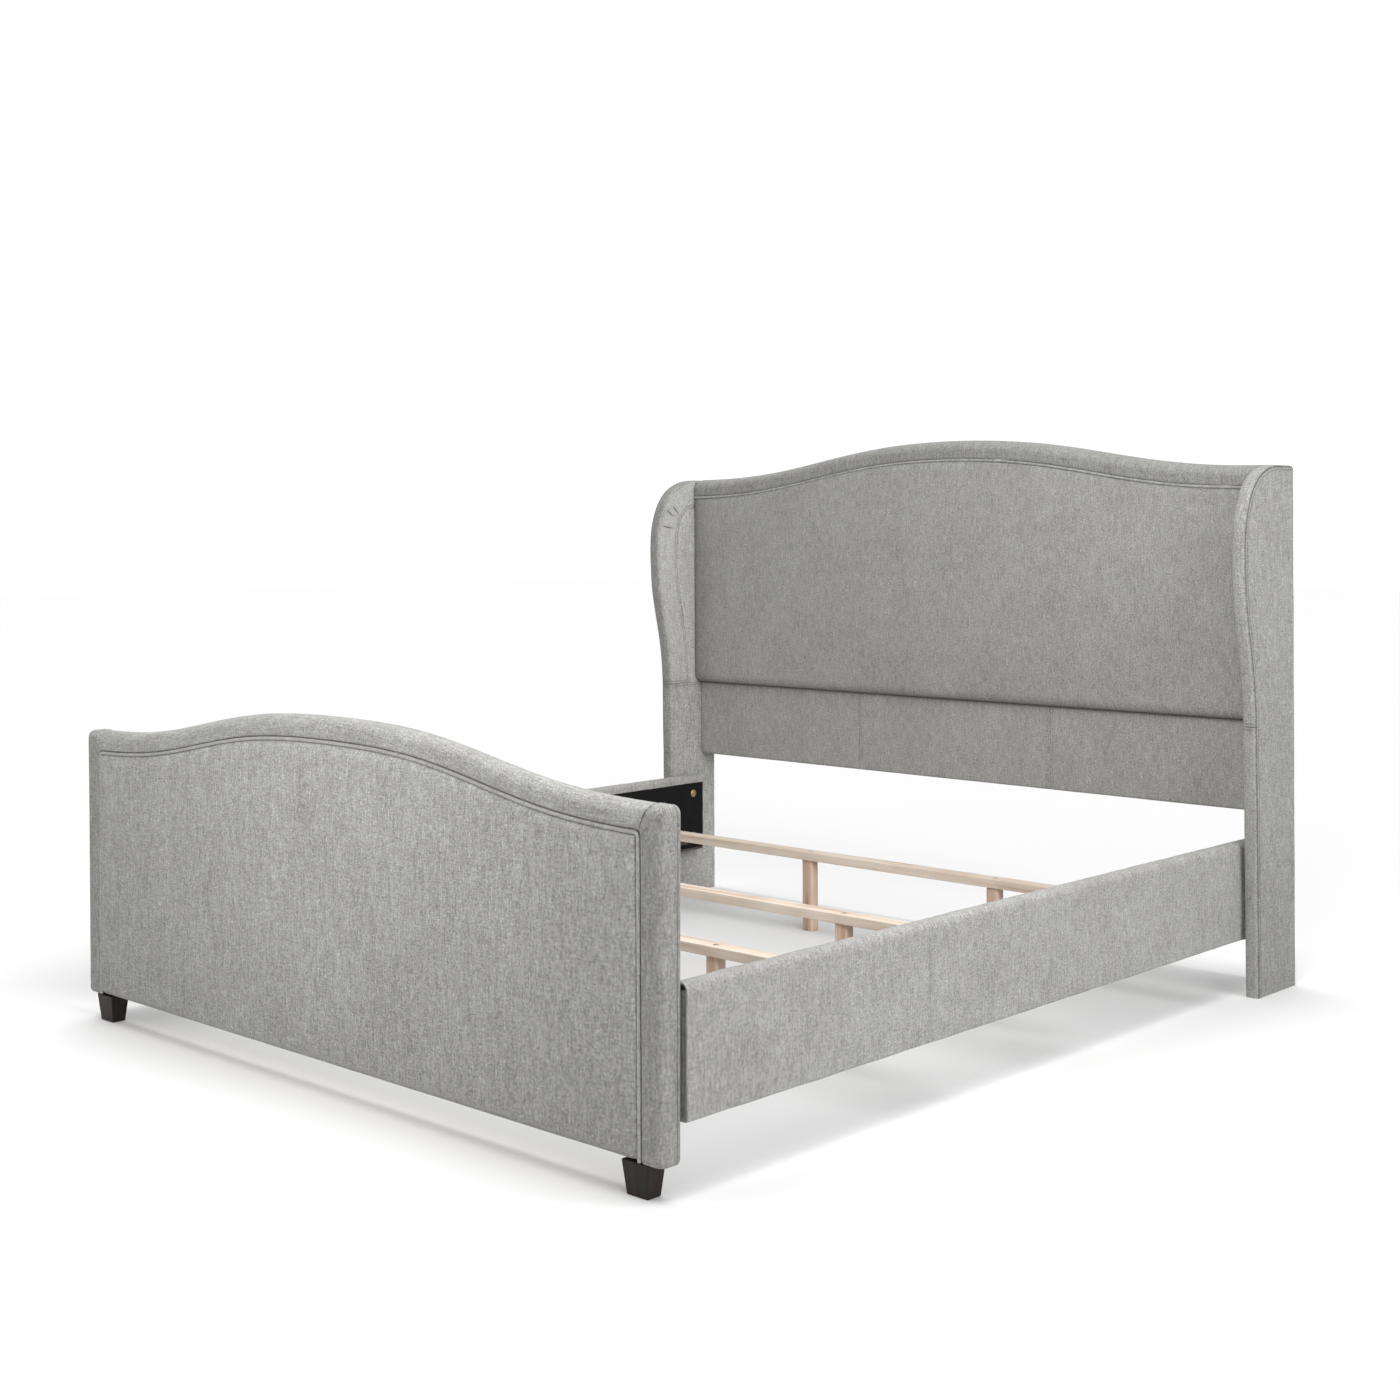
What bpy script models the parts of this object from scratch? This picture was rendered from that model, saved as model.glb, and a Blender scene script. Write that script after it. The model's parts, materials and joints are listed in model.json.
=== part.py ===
"""Upholstered king-size bed: camel-back headboard with shelter wings, camel-back
footboard on tapered feet, two upholstered side rails and three cross slats on legs.

Units are metres. X runs across the bed, +Y from the footboard to the headboard,
+Z up. The origin is on the floor, under the middle of the bed.
"""

import math

import bmesh
import bpy
from mathutils import Matrix, Vector

# ---------------------------------------------------------------- driving dimensions
BED_WIDTH = 2.098            # over the outer faces of the two wings
BED_LENGTH = 2.240           # footboard pad to headboard back
BED_HEIGHT = 1.430           # crest of the headboard
GAP = 0.0003                 # clearance between pieces that touch

WING_THICKNESS = 0.036
WING_INNER_X = BED_WIDTH / 2 - WING_THICKNESS
HALF_LENGTH = BED_LENGTH / 2

# footboard
PAD_CROWN = 0.012            # the front pad stands this far ahead of its border
FOOT_FRONT_Y = -HALF_LENGTH + PAD_CROWN
FOOT_THICKNESS = 0.048
FOOT_BACK_Y = FOOT_FRONT_Y + FOOT_THICKNESS
FOOT_HALF_WIDTH = 0.992
FOOT_CORNER_INSET = 0.004    # the sides lean in by this much at the bottom
FOOT_BOTTOM_Z = 0.064
FOOT_SHOULDER_Z = 0.696
FOOT_RISE = 0.092
FOOT_ARCH_SPAN = 1.000
FOOT_ARCH_SWEEP = 1.2        # how much fuller the crest and hollower the shoulders are
FOOT_BORDER_SIDE = 0.059     # the border's width up the sides ...
FOOT_BORDER_TOP = 0.047      # ... and over the top
FACE_LAYER = 0.0095          # foam and cloth over a frame's face
BACK_LAYER = 0.005           # cloth panel on a frame's back
WELT_RADIUS = 0.004
WELT_SLOT = 2 * WELT_RADIUS + 2 * GAP
WELT_CORNER_RADIUS = 0.018
FOOT_WINDOW_Z = (0.160, 0.600)               # openings in the footboard's frame
FOOT_WINDOW_STARTS_X = (-0.880, -0.260, 0.360)
FOOT_WINDOW_WIDTH = 0.520

# headboard
HEAD_BACK_Y = HALF_LENGTH
HEAD_BOTTOM_Z = 0.445
HEAD_SEAM_Z = 0.678
HEAD_SHOULDER_Z = 1.336
HEAD_RISE = BED_HEIGHT - HEAD_SHOULDER_Z
HEAD_ARCH_SPAN = 1.000
HEAD_ARCH_SWEEP = 0.6
HEAD_BORDER = 0.054
LOWER_PANEL_Y = 1.053
UPPER_PAD_Y = 1.021
HEAD_WINDOW_X = 0.915        # outer edge of the openings in the headboard's frame
HEAD_MIDDLE_STILE_X = (0.305, 0.385)
HEAD_LOW_WINDOW_Z = (0.540, 0.630)
HEAD_HIGH_WINDOW_Z = 0.720
HEAD_SIDE_WINDOW_TOP = 1.180
HEAD_MIDDLE_WINDOW_TOP = 1.270

# wings
WING_FRONT_FLOOR_Y = 0.923
WING_FRONT_KNEE = (0.915, 0.660)
WING_BELLY = (0.862, 1.105)
WING_CROWN = (1.045, 1.330)
WING_TOP_Z = 1.330
WING_CORNER_RADIUS = 0.012
WING_FACE = 0.006
BAND_CROWN = 0.004           # the boxed band stands this far out of its seam ...
BAND_CROWN_FRONT = 0.004     # ... and this much further where it faces forward

# side rails
RAIL_OUTER_X = 1.0047
RAIL_THICKNESS = 0.040
RAIL_INNER_X = RAIL_OUTER_X - RAIL_THICKNESS
RAIL_BOTTOM_Z = 0.138
RAIL_TOP_Z = 0.387
RAIL_START_Y = FOOT_BACK_Y + GAP
RAIL_END_Y = 1.014
RAIL_PACKING_START_Y = 0.945  # from here the cover is padded out to meet the wing
RAIL_SKIN = 0.006
RAIL_TURN_DOWN_Z = 0.359     # the cover folds down inside the rail to here
RAIL_TOP_RADIUS = 0.012
RAIL_LIP_RADIUS = 0.008
RAIL_LIP_THICKNESS = 0.0045
RAIL_UNDER_WRAP = 0.020      # the cover turns this far in under the rail
RAIL_END_CAP = 0.002         # cloth over the board's end at the footboard
RAIL_BOARD_INSET = 0.005     # the board lies this far behind the rail's inner face
LINER_THICKNESS = 0.0019

# slats
SLAT_WIDTH = 0.045
SLAT_THICKNESS = 0.024
SLAT_BOTTOM_Z = 0.207
SLAT_HALF_LENGTH = 0.962
SLAT_CENTRE_Y = {"foot": -0.290, "middle": 0.177, "head": 0.806}
LEG_X = {"foot": 0.335, "middle": 0.325, "head": 0.330}  # legs are set by eye, slat by slat
LEG_SIZE_X = 0.040
LEG_SIZE_Y = 0.032
LEG_EDGE_RADIUS = 0.008
TIMBER_EDGE = 0.0015         # planed edge on slats, legs and ledgers
LEDGER_INNER_X = 0.945
LEDGER_HEIGHT = 0.037
LEDGER_START_Y = -1.018
LEDGER_END_Y = 0.922

# feet
FOOT_X = 0.916
FOOT_TOP_SIZE = (0.068, 0.046)
FOOT_FLOOR_SIZE = (0.054, 0.033)
FOOT_EDGE = 0.002

# fasteners
BOLT_RADIUS = 0.004
BORE_RADIUS = 0.0044
BOLT_HEAD_RADIUS = 0.012
BOLT_HEAD_HEIGHT = 0.0045
RAIL_BOLT_Y = 0.969
RAIL_BOLT_Z = (0.190, 0.326)
HEAD_BOLT_Z = (0.585, 1.100)
HEAD_BOLT_Y = 1.088
SCREW_RADIUS = 0.0022
SCREW_BORE_RADIUS = 0.0026
SCREW_HEAD_RADIUS = 0.0070
SCREW_LENGTH = 0.060
ROUND_SEGMENTS = 20

# each finish: base colour (linear), roughness, metallic
FINISHES = {
    "fabric": ((0.400, 0.395, 0.378), 0.95, 0.0),
    "welt_fabric": ((0.370, 0.365, 0.350), 0.95, 0.0),
    "liner": ((0.014, 0.014, 0.015), 0.90, 0.0),
    "frame_wood": ((0.520, 0.370, 0.220), 0.75, 0.0),
    "pine": ((0.680, 0.500, 0.350), 0.60, 0.0),
    "dark_wood": ((0.040, 0.026, 0.022), 0.40, 0.0),
    "zinc_steel": ((0.600, 0.620, 0.650), 0.35, 1.0),
    "brass": ((0.420, 0.300, 0.130), 0.40, 1.0),
}

SIDES = (("left", -1.0), ("right", 1.0))


# ---------------------------------------------------------------- scene and objects
def clear_scene():
    for item in list(bpy.data.objects):
        bpy.data.objects.remove(item, do_unlink=True)


def new_collection(name):
    collection = bpy.data.collections.new(name)
    bpy.context.scene.collection.children.link(collection)
    return collection


def own_material(node, finish):
    colour, roughness, metallic = FINISHES[finish]
    material = bpy.data.materials.new(f"{node}_{finish}")
    material.use_nodes = True
    shader = material.node_tree.nodes["Principled BSDF"]
    shader.inputs["Base Color"].default_value = (*colour, 1.0)
    shader.inputs["Roughness"].default_value = roughness
    shader.inputs["Metallic"].default_value = metallic
    return material


def add_part(name, mesh, finish):
    part = bpy.data.objects.new(name, mesh)
    mesh.name = name
    mesh.materials.clear()
    mesh.materials.append(own_material(name, finish))
    PARTS.objects.link(part)
    return part


def add_placed_part(name, mesh, finish, place):
    part = add_part(name, mesh, finish)
    part.matrix_world = place
    return part


def add_cutter(name, mesh):
    cutter = bpy.data.objects.new(name, mesh)
    cutter.hide_render = True
    cutter.display_type = "WIRE"
    CUTTERS.objects.link(cutter)
    return cutter


def join(part, mesh):
    """Adds another solid to a part, so that both are one body."""
    boolean = part.modifiers.new("joined", "BOOLEAN")
    boolean.operation = "UNION"
    boolean.object = add_cutter(f"{part.name}_joined", mesh)


def cut(cutter, *parts):
    for part in parts:
        boolean = part.modifiers.new(cutter.name, "BOOLEAN")
        boolean.operation = "DIFFERENCE"
        boolean.object = cutter


def round_edges(part, width, segments=2, angle=40.0):
    bevel = part.modifiers.new("rounded_edges", "BEVEL")
    bevel.width = width
    bevel.segments = segments
    bevel.limit_method = "ANGLE"
    bevel.angle_limit = math.radians(angle)


# ---------------------------------------------------------------- mesh building
def mesh_from_bmesh(shape, name):
    bmesh.ops.recalc_face_normals(shape, faces=shape.faces)
    mesh = bpy.data.meshes.new(name)
    shape.to_mesh(mesh)
    shape.free()
    return mesh


def mesh_from_holder(holder, transform=Matrix()):
    """The evaluated mesh of a temporary object, welded; the object is removed."""
    bpy.context.scene.collection.objects.link(holder)
    depsgraph = bpy.context.evaluated_depsgraph_get()
    source = bpy.data.meshes.new_from_object(holder.evaluated_get(depsgraph))
    bpy.data.objects.remove(holder, do_unlink=True)
    shape = bmesh.new()
    shape.from_mesh(source)
    bmesh.ops.remove_doubles(shape, verts=shape.verts, dist=0.00001)
    bmesh.ops.transform(shape, matrix=transform, verts=shape.verts)
    return mesh_from_bmesh(shape, "shape")


def box_mesh(low, high):
    low, high = Vector(low), Vector(high)
    size = high - low
    place = Matrix.Translation((low + high) / 2) @ Matrix.Diagonal((*size, 1.0))
    shape = bmesh.new()
    bmesh.ops.create_cube(shape, size=1.0, matrix=place)
    return mesh_from_bmesh(shape, "box")


def sided_box(side, x_inner, x_outer, y, z):
    """A box given by its distances from the bed's centre line, on one side of it."""
    x_pair = sorted((side * x_inner, side * x_outer))
    return box_mesh((x_pair[0], y[0], z[0]), (x_pair[1], y[1], z[1]))


# local XY of a flat outline to world: XZ plates grow along +Y, YZ plates along +X
XZ_PLANE = Matrix(((1, 0, 0, 0), (0, 0, 1, 0), (0, 1, 0, 0), (0, 0, 0, 1)))
YZ_PLANE = Matrix(((0, 0, 1, 0), (1, 0, 0, 0), (0, 1, 0, 0), (0, 0, 0, 1)))
XY_PLANE = Matrix()


def plate_mesh(outlines, plane, start, end):
    """A flat outline, with any holes after it, extruded from start to end."""
    start, end = sorted((start, end))
    curve = bpy.data.curves.new("outline", "CURVE")
    curve.dimensions = "2D"
    curve.fill_mode = "BOTH"
    curve.extrude = (end - start) / 2
    curve.render_resolution_u = 0
    for outline in outlines:
        spline = curve.splines.new("POLY")
        spline.points.add(len(outline) - 1)
        for point, (across, up) in zip(spline.points, outline):
            point.co = (across, up, 0.0, 1.0)
        spline.use_cyclic_u = True
    lift = Matrix.Translation((0, 0, (start + end) / 2))
    return mesh_from_holder(bpy.data.objects.new("outline", curve), plane @ lift)


def tube_mesh(points, radius):
    """A round cord along an open path."""
    curve = bpy.data.curves.new("cord", "CURVE")
    curve.dimensions = "3D"
    curve.bevel_depth = radius
    curve.bevel_resolution = 1
    curve.use_fill_caps = True
    curve.render_resolution_u = 0
    spline = curve.splines.new("POLY")
    spline.points.add(len(points) - 1)
    for point, place in zip(spline.points, points):
        point.co = (*place, 1.0)
    return mesh_from_holder(bpy.data.objects.new("cord", curve))


def turned_mesh(profile):
    """A profile of (radius, height), top to bottom, turned round its axis."""
    mesh = bpy.data.meshes.new("profile")
    vertices = [(radius, 0.0, height) for radius, height in profile]
    edges = [(i, i + 1) for i in range(len(vertices) - 1)]
    mesh.from_pydata(vertices, edges, [])
    holder = bpy.data.objects.new("profile", mesh)
    screw = holder.modifiers.new("turned", "SCREW")
    screw.steps = ROUND_SEGMENTS
    screw.render_steps = ROUND_SEGMENTS
    screw.use_merge_vertices = True
    screw.merge_threshold = 0.00001
    return mesh_from_holder(holder)


def repeated_mesh(mesh, places):
    """Separate copies of one mesh, one at each place."""
    shape = bmesh.new()
    for place in places:
        before = len(shape.verts)
        shape.from_mesh(mesh)
        shape.verts.ensure_lookup_table()
        bmesh.ops.transform(shape, matrix=place, verts=shape.verts[before:])
    return mesh_from_bmesh(shape, "repeated")


def pointing(axis, place):
    """Stands a turned piece at a place with its local +Z along an axis."""
    turn = Vector((0, 0, 1)).rotation_difference(Vector(axis)).to_matrix().to_4x4()
    return Matrix.Translation(place) @ turn


def rod_mesh(radius, places, length):
    """Plain cylinders that start at each place and run down its local -Z."""
    rod = turned_mesh(((0, 0), (radius, 0), (radius, -length), (0, -length)))
    return repeated_mesh(rod, places)


# ---------------------------------------------------------------- curves of the design
def arc(centre, radius, start, end, steps=4):
    """Points on an arc, from one angle to another in degrees."""
    points = []
    for step in range(steps + 1):
        angle = math.radians(start + (end - start) * step / steps)
        points.append((centre[0] + radius * math.cos(angle), centre[1] + radius * math.sin(angle)))
    return points


def bezier(start, start_handle, end_handle, end, steps):
    points = []
    for step in range(steps + 1):
        t = step / steps
        weights = ((1 - t) ** 3, 3 * (1 - t) ** 2 * t, 3 * (1 - t) * t ** 2, t ** 3)
        corners = (start, start_handle, end_handle, end)
        points.append(tuple(sum(w * p[i] for w, p in zip(weights, corners)) for i in (0, 1)))
    return points


def camel_back(x, shoulder, rise, span, sweep):
    """Height of a camel-back top: a raised cosine between flat shoulders, its slopes steepened."""
    if abs(x) >= span:
        return shoulder
    share = math.cos(math.pi * x / (2 * span)) ** 2
    share += sweep * share * (1 - share) * (share - 0.5)
    return shoulder + rise * share


def foot_top(x):
    return camel_back(x, FOOT_SHOULDER_Z, FOOT_RISE, FOOT_ARCH_SPAN, FOOT_ARCH_SWEEP)


def head_top(x):
    return camel_back(x, HEAD_SHOULDER_Z, HEAD_RISE, HEAD_ARCH_SPAN, HEAD_ARCH_SWEEP)


def arch_points(top, half_width, drop, steps=36):
    """Points of a camel-back top, lowered by drop, from right to left."""
    xs = [half_width - 2 * half_width * step / steps for step in range(steps + 1)]
    return [(x, top(x) - drop) for x in xs]


def arched_outline(top, half_width, bottom, drop, lean=0.0):
    """A panel with a straight foot and a camel-back top."""
    foot = [(-half_width + lean, bottom), (half_width - lean, bottom)]
    return foot + arch_points(top, half_width, drop)


def rectangle(low, high):
    return [(low[0], low[1]), (high[0], low[1]), (high[0], high[1]), (low[0], high[1])]


def wing_seam():
    """The wing's sewn edge in (y, z): up the front, over the shoulder, to the back."""
    knee, belly, crown = WING_FRONT_KNEE, WING_BELLY, WING_CROWN
    lower = bezier(knee, (knee[0], knee[1] + 0.20), (belly[0], belly[1] - 0.20), belly, 10)
    upper = bezier(belly, (belly[0], belly[1] + 0.145), (crown[0] - 0.125, crown[1]), crown, 10)
    back = HEAD_BACK_Y - BAND_CROWN
    radius = WING_CORNER_RADIUS
    corner = arc((back - radius, WING_TOP_Z - radius), radius, 90, 0, 3)
    return [(WING_FRONT_FLOOR_Y, 0.0)] + lower + upper[1:] + corner


def band_outer(seam):
    """The crowned outer surface of the wing's boxed band, set out from the seam."""
    crowned = []
    for index, point in enumerate(seam):
        before = Vector(seam[max(index - 1, 0)])
        after = Vector(seam[min(index + 1, len(seam) - 1)])
        along = (after - before).normalized()
        normal = Vector((-along.y, along.x))
        reach = BAND_CROWN + BAND_CROWN_FRONT * max(-normal.x, 0.0)
        crowned.append((min(point[0] + normal.x * reach, HEAD_BACK_Y), point[1] + normal.y * reach))
    crowned[0] = (crowned[0][0], seam[0][1])
    return crowned


def wing_panel_outline(inset):
    """The wing's flat panel inside its seam, shrunk by inset."""
    seam = wing_seam()
    shrunk = []
    for index, point in enumerate(seam):
        before = Vector(seam[max(index - 1, 0)])
        after = Vector(seam[min(index + 1, len(seam) - 1)])
        along = (after - before).normalized()
        shrunk.append((point[0] + along.y * inset, point[1] - along.x * inset))
    shrunk[0] = (shrunk[0][0], seam[0][1])
    back = shrunk[-1][0]
    return shrunk + [(back, seam[0][1])]


# ---------------------------------------------------------------- footboard
def border_inner(offset, steps=36):
    """The border's inner edge, moved in by offset: up one side, over the arch, down the other."""
    half = FOOT_HALF_WIDTH - FOOT_BORDER_SIDE - offset
    drop = FOOT_BORDER_TOP + offset
    radius = WELT_CORNER_RADIUS
    corner_z = foot_top(half - radius) - drop
    right = [(half, FOOT_BOTTOM_Z)]
    right += arc((half - radius, corner_z - radius), radius, 0, 90)
    arch = arch_points(foot_top, half - radius, drop, steps)[1:-1]
    left = [(-x, z) for x, z in reversed(right)]
    return right + arch + left


def build_footboard():
    skin = 0.022
    frame_front = FOOT_FRONT_Y + FACE_LAYER
    frame_back = FOOT_BACK_Y - BACK_LAYER - GAP
    frame_half = FOOT_HALF_WIDTH - skin
    frame_bottom = FOOT_BOTTOM_Z + 0.0025
    frame_outline = arched_outline(foot_top, frame_half, frame_bottom, skin)
    window_low, window_high = FOOT_WINDOW_Z
    windows = [rectangle((x, window_low), (x + FOOT_WINDOW_WIDTH, window_high))
               for x in FOOT_WINDOW_STARTS_X]
    frame_mesh = plate_mesh([frame_outline] + windows, XZ_PLANE, frame_front + GAP, frame_back)
    frame = add_part("footboard_frame", frame_mesh, "frame_wood")

    border_outline = arched_outline(foot_top, FOOT_HALF_WIDTH, FOOT_BOTTOM_Z, 0.0, FOOT_CORNER_INSET)
    inner = border_inner(0.0)
    outer = border_outline[1:] + border_outline[:1]
    border_mesh = plate_mesh([outer + inner[::-1]], XZ_PLANE, FOOT_FRONT_Y, FOOT_BACK_Y)
    border = add_part("footboard_border", border_mesh, "fabric")
    room_outline = arched_outline(foot_top, frame_half + GAP, 0.0, skin - GAP)
    room = plate_mesh([room_outline], XZ_PLANE, frame_front, FOOT_BACK_Y + 0.02)
    cut(add_cutter("footboard_frame_room", room), border)
    round_edges(border, 0.006)

    pad_outline = border_inner(WELT_SLOT)
    pad_mesh = plate_mesh([pad_outline], XZ_PLANE, -HALF_LENGTH, frame_front)
    round_edges(add_part("footboard_front_pad", pad_mesh, "fabric"), 0.008)

    welt_line = border_inner(WELT_SLOT / 2)
    welt_y = FOOT_FRONT_Y + 0.0015
    welt_points = [(x, welt_y, z) for x, z in welt_line]
    add_part("footboard_welt", tube_mesh(welt_points, WELT_RADIUS), "welt_fabric")

    back_outline = arched_outline(foot_top, frame_half - GAP, FOOT_BOTTOM_Z, skin + GAP)
    back_mesh = plate_mesh([back_outline], XZ_PLANE, FOOT_BACK_Y - BACK_LAYER, FOOT_BACK_Y)
    back = add_part("footboard_back_cover", back_mesh, "fabric")
    build_feet(frame)
    return frame, back


def build_feet(frame):
    """Tapered blocks, each on a double-ended bolt that screws up into the frame."""
    centre_y = (FOOT_FRONT_Y + FOOT_BACK_Y) / 2
    top_z = FOOT_BOTTOM_Z - GAP
    bolt_tip, bolt_top = 0.024, 0.105
    bolt_length = bolt_top - bolt_tip
    for label, side in SIDES:
        shape = bmesh.new()
        bmesh.ops.create_cube(shape, size=1.0)
        for vertex in shape.verts:
            at_top = vertex.co.z > 0
            size = FOOT_TOP_SIZE if at_top else FOOT_FLOOR_SIZE
            vertex.co.x = side * FOOT_X + vertex.co.x * size[0]
            vertex.co.y = centre_y + vertex.co.y * size[1]
            vertex.co.z = top_z if at_top else 0.0
        foot = add_part(f"foot_{label}", mesh_from_bmesh(shape, "foot"), "dark_wood")
        round_edges(foot, FOOT_EDGE)
        place = Matrix.Translation((side * FOOT_X, centre_y, bolt_top))
        bolt_mesh = rod_mesh(BOLT_RADIUS, [Matrix()], bolt_length)
        add_placed_part(f"foot_bolt_{label}", bolt_mesh, "zinc_steel", place)
        clear = [place @ Matrix.Translation((0, 0, GAP))]
        bore = rod_mesh(BORE_RADIUS, clear, bolt_length + 2 * GAP)
        cut(add_cutter(f"foot_bolt_bore_{label}", bore), frame, foot)


# ---------------------------------------------------------------- headboard
def build_headboard():
    half = WING_INNER_X - GAP
    frame_front = LOWER_PANEL_Y + FACE_LAYER
    frame_back = HEAD_BACK_Y - BACK_LAYER - GAP
    wrap = 0.005
    under_border = HEAD_BORDER + WELT_SLOT
    frame_outline = arched_outline(head_top, half, HEAD_BOTTOM_Z + wrap + GAP, under_border)
    windows = []
    stile = HEAD_MIDDLE_STILE_X
    for x, end, top in ((-HEAD_WINDOW_X, -stile[1], HEAD_SIDE_WINDOW_TOP),
                        (-stile[0], stile[0], HEAD_MIDDLE_WINDOW_TOP),
                        (stile[1], HEAD_WINDOW_X, HEAD_SIDE_WINDOW_TOP)):
        windows.append(rectangle((x, HEAD_LOW_WINDOW_Z[0]), (end, HEAD_LOW_WINDOW_Z[1])))
        windows.append(rectangle((x, HEAD_HIGH_WINDOW_Z), (end, top)))
    frame_mesh = plate_mesh([frame_outline] + windows, XZ_PLANE, frame_front + GAP, frame_back)
    frame = add_part("headboard_frame", frame_mesh, "frame_wood")

    lower_profile = [
        (LOWER_PANEL_Y, HEAD_BOTTOM_Z),
        (HEAD_BACK_Y - BACK_LAYER, HEAD_BOTTOM_Z),
        (HEAD_BACK_Y - BACK_LAYER, HEAD_BOTTOM_Z + wrap),
        (frame_front, HEAD_BOTTOM_Z + wrap),
        (frame_front, HEAD_SEAM_Z),
        (LOWER_PANEL_Y, HEAD_SEAM_Z),
    ]
    lower_mesh = plate_mesh([lower_profile], YZ_PLANE, -half, half)
    add_part("headboard_lower_panel", lower_mesh, "fabric")

    pad_outline = arched_outline(head_top, half, HEAD_SEAM_Z + GAP, under_border)
    pad_mesh = plate_mesh([pad_outline], XZ_PLANE, UPPER_PAD_Y, frame_front)
    round_edges(add_part("headboard_upper_pad", pad_mesh, "fabric"), 0.010)

    top_line = arch_points(head_top, half, 0.0)
    low_line = arch_points(head_top, half, HEAD_BORDER)
    border_front = UPPER_PAD_Y + 0.004
    border_mesh = plate_mesh([top_line + low_line[::-1]], XZ_PLANE, border_front, HEAD_BACK_Y)
    round_edges(add_part("headboard_border", border_mesh, "fabric"), 0.012, 3)

    welt_y = border_front + 0.002
    welt_line = arch_points(head_top, half - GAP, HEAD_BORDER + WELT_SLOT / 2)
    welt_mesh = tube_mesh([(x, welt_y, z) for x, z in welt_line], WELT_RADIUS)
    add_part("headboard_welt", welt_mesh, "welt_fabric")

    back_outline = arched_outline(head_top, half, HEAD_BOTTOM_Z, HEAD_BORDER + GAP)
    back_mesh = plate_mesh([back_outline], XZ_PLANE, HEAD_BACK_Y - BACK_LAYER + GAP, HEAD_BACK_Y)
    add_part("headboard_back_cover", back_mesh, "fabric")
    return frame


# ---------------------------------------------------------------- wings
def build_wing(label, side):
    inner = WING_INNER_X
    outer = BED_WIDTH / 2
    panel = wing_panel_outline(GAP)
    layers = {
        "inner_panel": (inner, inner + WING_FACE, "fabric"),
        "frame": (inner + WING_FACE + GAP, outer - WING_FACE - GAP, "frame_wood"),
        "outer_panel": (outer - WING_FACE, outer, "fabric"),
    }
    built = {}
    for layer, (start, end, finish) in layers.items():
        mesh = plate_mesh([panel], YZ_PLANE, side * start, side * end)
        built[layer] = add_part(f"wing_{layer}_{label}", mesh, finish)

    seam = wing_seam()
    band_mesh = plate_mesh([band_outer(seam) + seam[::-1]], YZ_PLANE, side * inner, side * outer)
    add_part(f"wing_band_{label}", band_mesh, "fabric")
    return built["inner_panel"], built["frame"]


# ---------------------------------------------------------------- side rails
def rail_outside():
    """The cover's outer surface in (x, z), from the underside over the top to the turned-down lip."""
    outer, inner = RAIL_OUTER_X, RAIL_INNER_X
    top, bottom = RAIL_TOP_Z, RAIL_BOTTOM_Z
    line = [(outer, bottom)]
    line += arc((outer - RAIL_TOP_RADIUS, top - RAIL_TOP_RADIUS), RAIL_TOP_RADIUS, 0, 90)
    line += arc((inner + RAIL_LIP_RADIUS, top - RAIL_LIP_RADIUS), RAIL_LIP_RADIUS, 90, 180)
    return line + [(inner, RAIL_TURN_DOWN_Z)]


def rail_cavity():
    """The cover's inner surface in (x, z), carried on past its open inner side."""
    outer, inner, skin = RAIL_OUTER_X, RAIL_INNER_X, RAIL_SKIN
    top, bottom, beyond = RAIL_TOP_Z, RAIL_BOTTOM_Z, 0.010
    below_lip = RAIL_TURN_DOWN_Z - 0.001
    line = [(inner - beyond, below_lip), (inner + RAIL_LIP_THICKNESS, below_lip)]
    line += arc((inner + RAIL_LIP_RADIUS, top - RAIL_LIP_RADIUS),
                RAIL_LIP_RADIUS - RAIL_LIP_THICKNESS, 180, 90, 2)
    line += arc((outer - RAIL_TOP_RADIUS, top - RAIL_TOP_RADIUS), RAIL_TOP_RADIUS - skin, 90, 0, 2)
    line += [(outer - skin, bottom + 0.005), (outer - RAIL_UNDER_WRAP, bottom + 0.005)]
    return line + [(outer - RAIL_UNDER_WRAP, bottom - beyond), (inner - beyond, bottom - beyond)]


def build_rail_cover(label, side):
    """The cover, hollowed out behind a closed end that hides the board at the footboard."""
    board_face = RAIL_INNER_X + RAIL_BOARD_INSET
    solid_line = rail_outside() + [(board_face, RAIL_TURN_DOWN_Z), (board_face, RAIL_BOTTOM_Z)]
    solid = [(side * x, z) for x, z in solid_line]
    hollow = [(side * x, z) for x, z in rail_cavity()]
    cover_mesh = plate_mesh([solid], XZ_PLANE, RAIL_START_Y, RAIL_END_Y)
    cover = add_part(f"rail_cover_{label}", cover_mesh, "fabric")
    packing = sided_box(side, RAIL_OUTER_X - 0.002, WING_INNER_X - GAP, (RAIL_PACKING_START_Y, RAIL_END_Y),
                        (RAIL_BOTTOM_Z + 0.006, RAIL_TOP_Z - RAIL_TOP_RADIUS))
    join(cover, packing)
    hollow_mesh = plate_mesh([hollow], XZ_PLANE, RAIL_START_Y + RAIL_END_CAP, RAIL_END_Y + 0.010)
    cut(add_cutter(f"rail_cavity_{label}", hollow_mesh), cover)
    return cover


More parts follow.
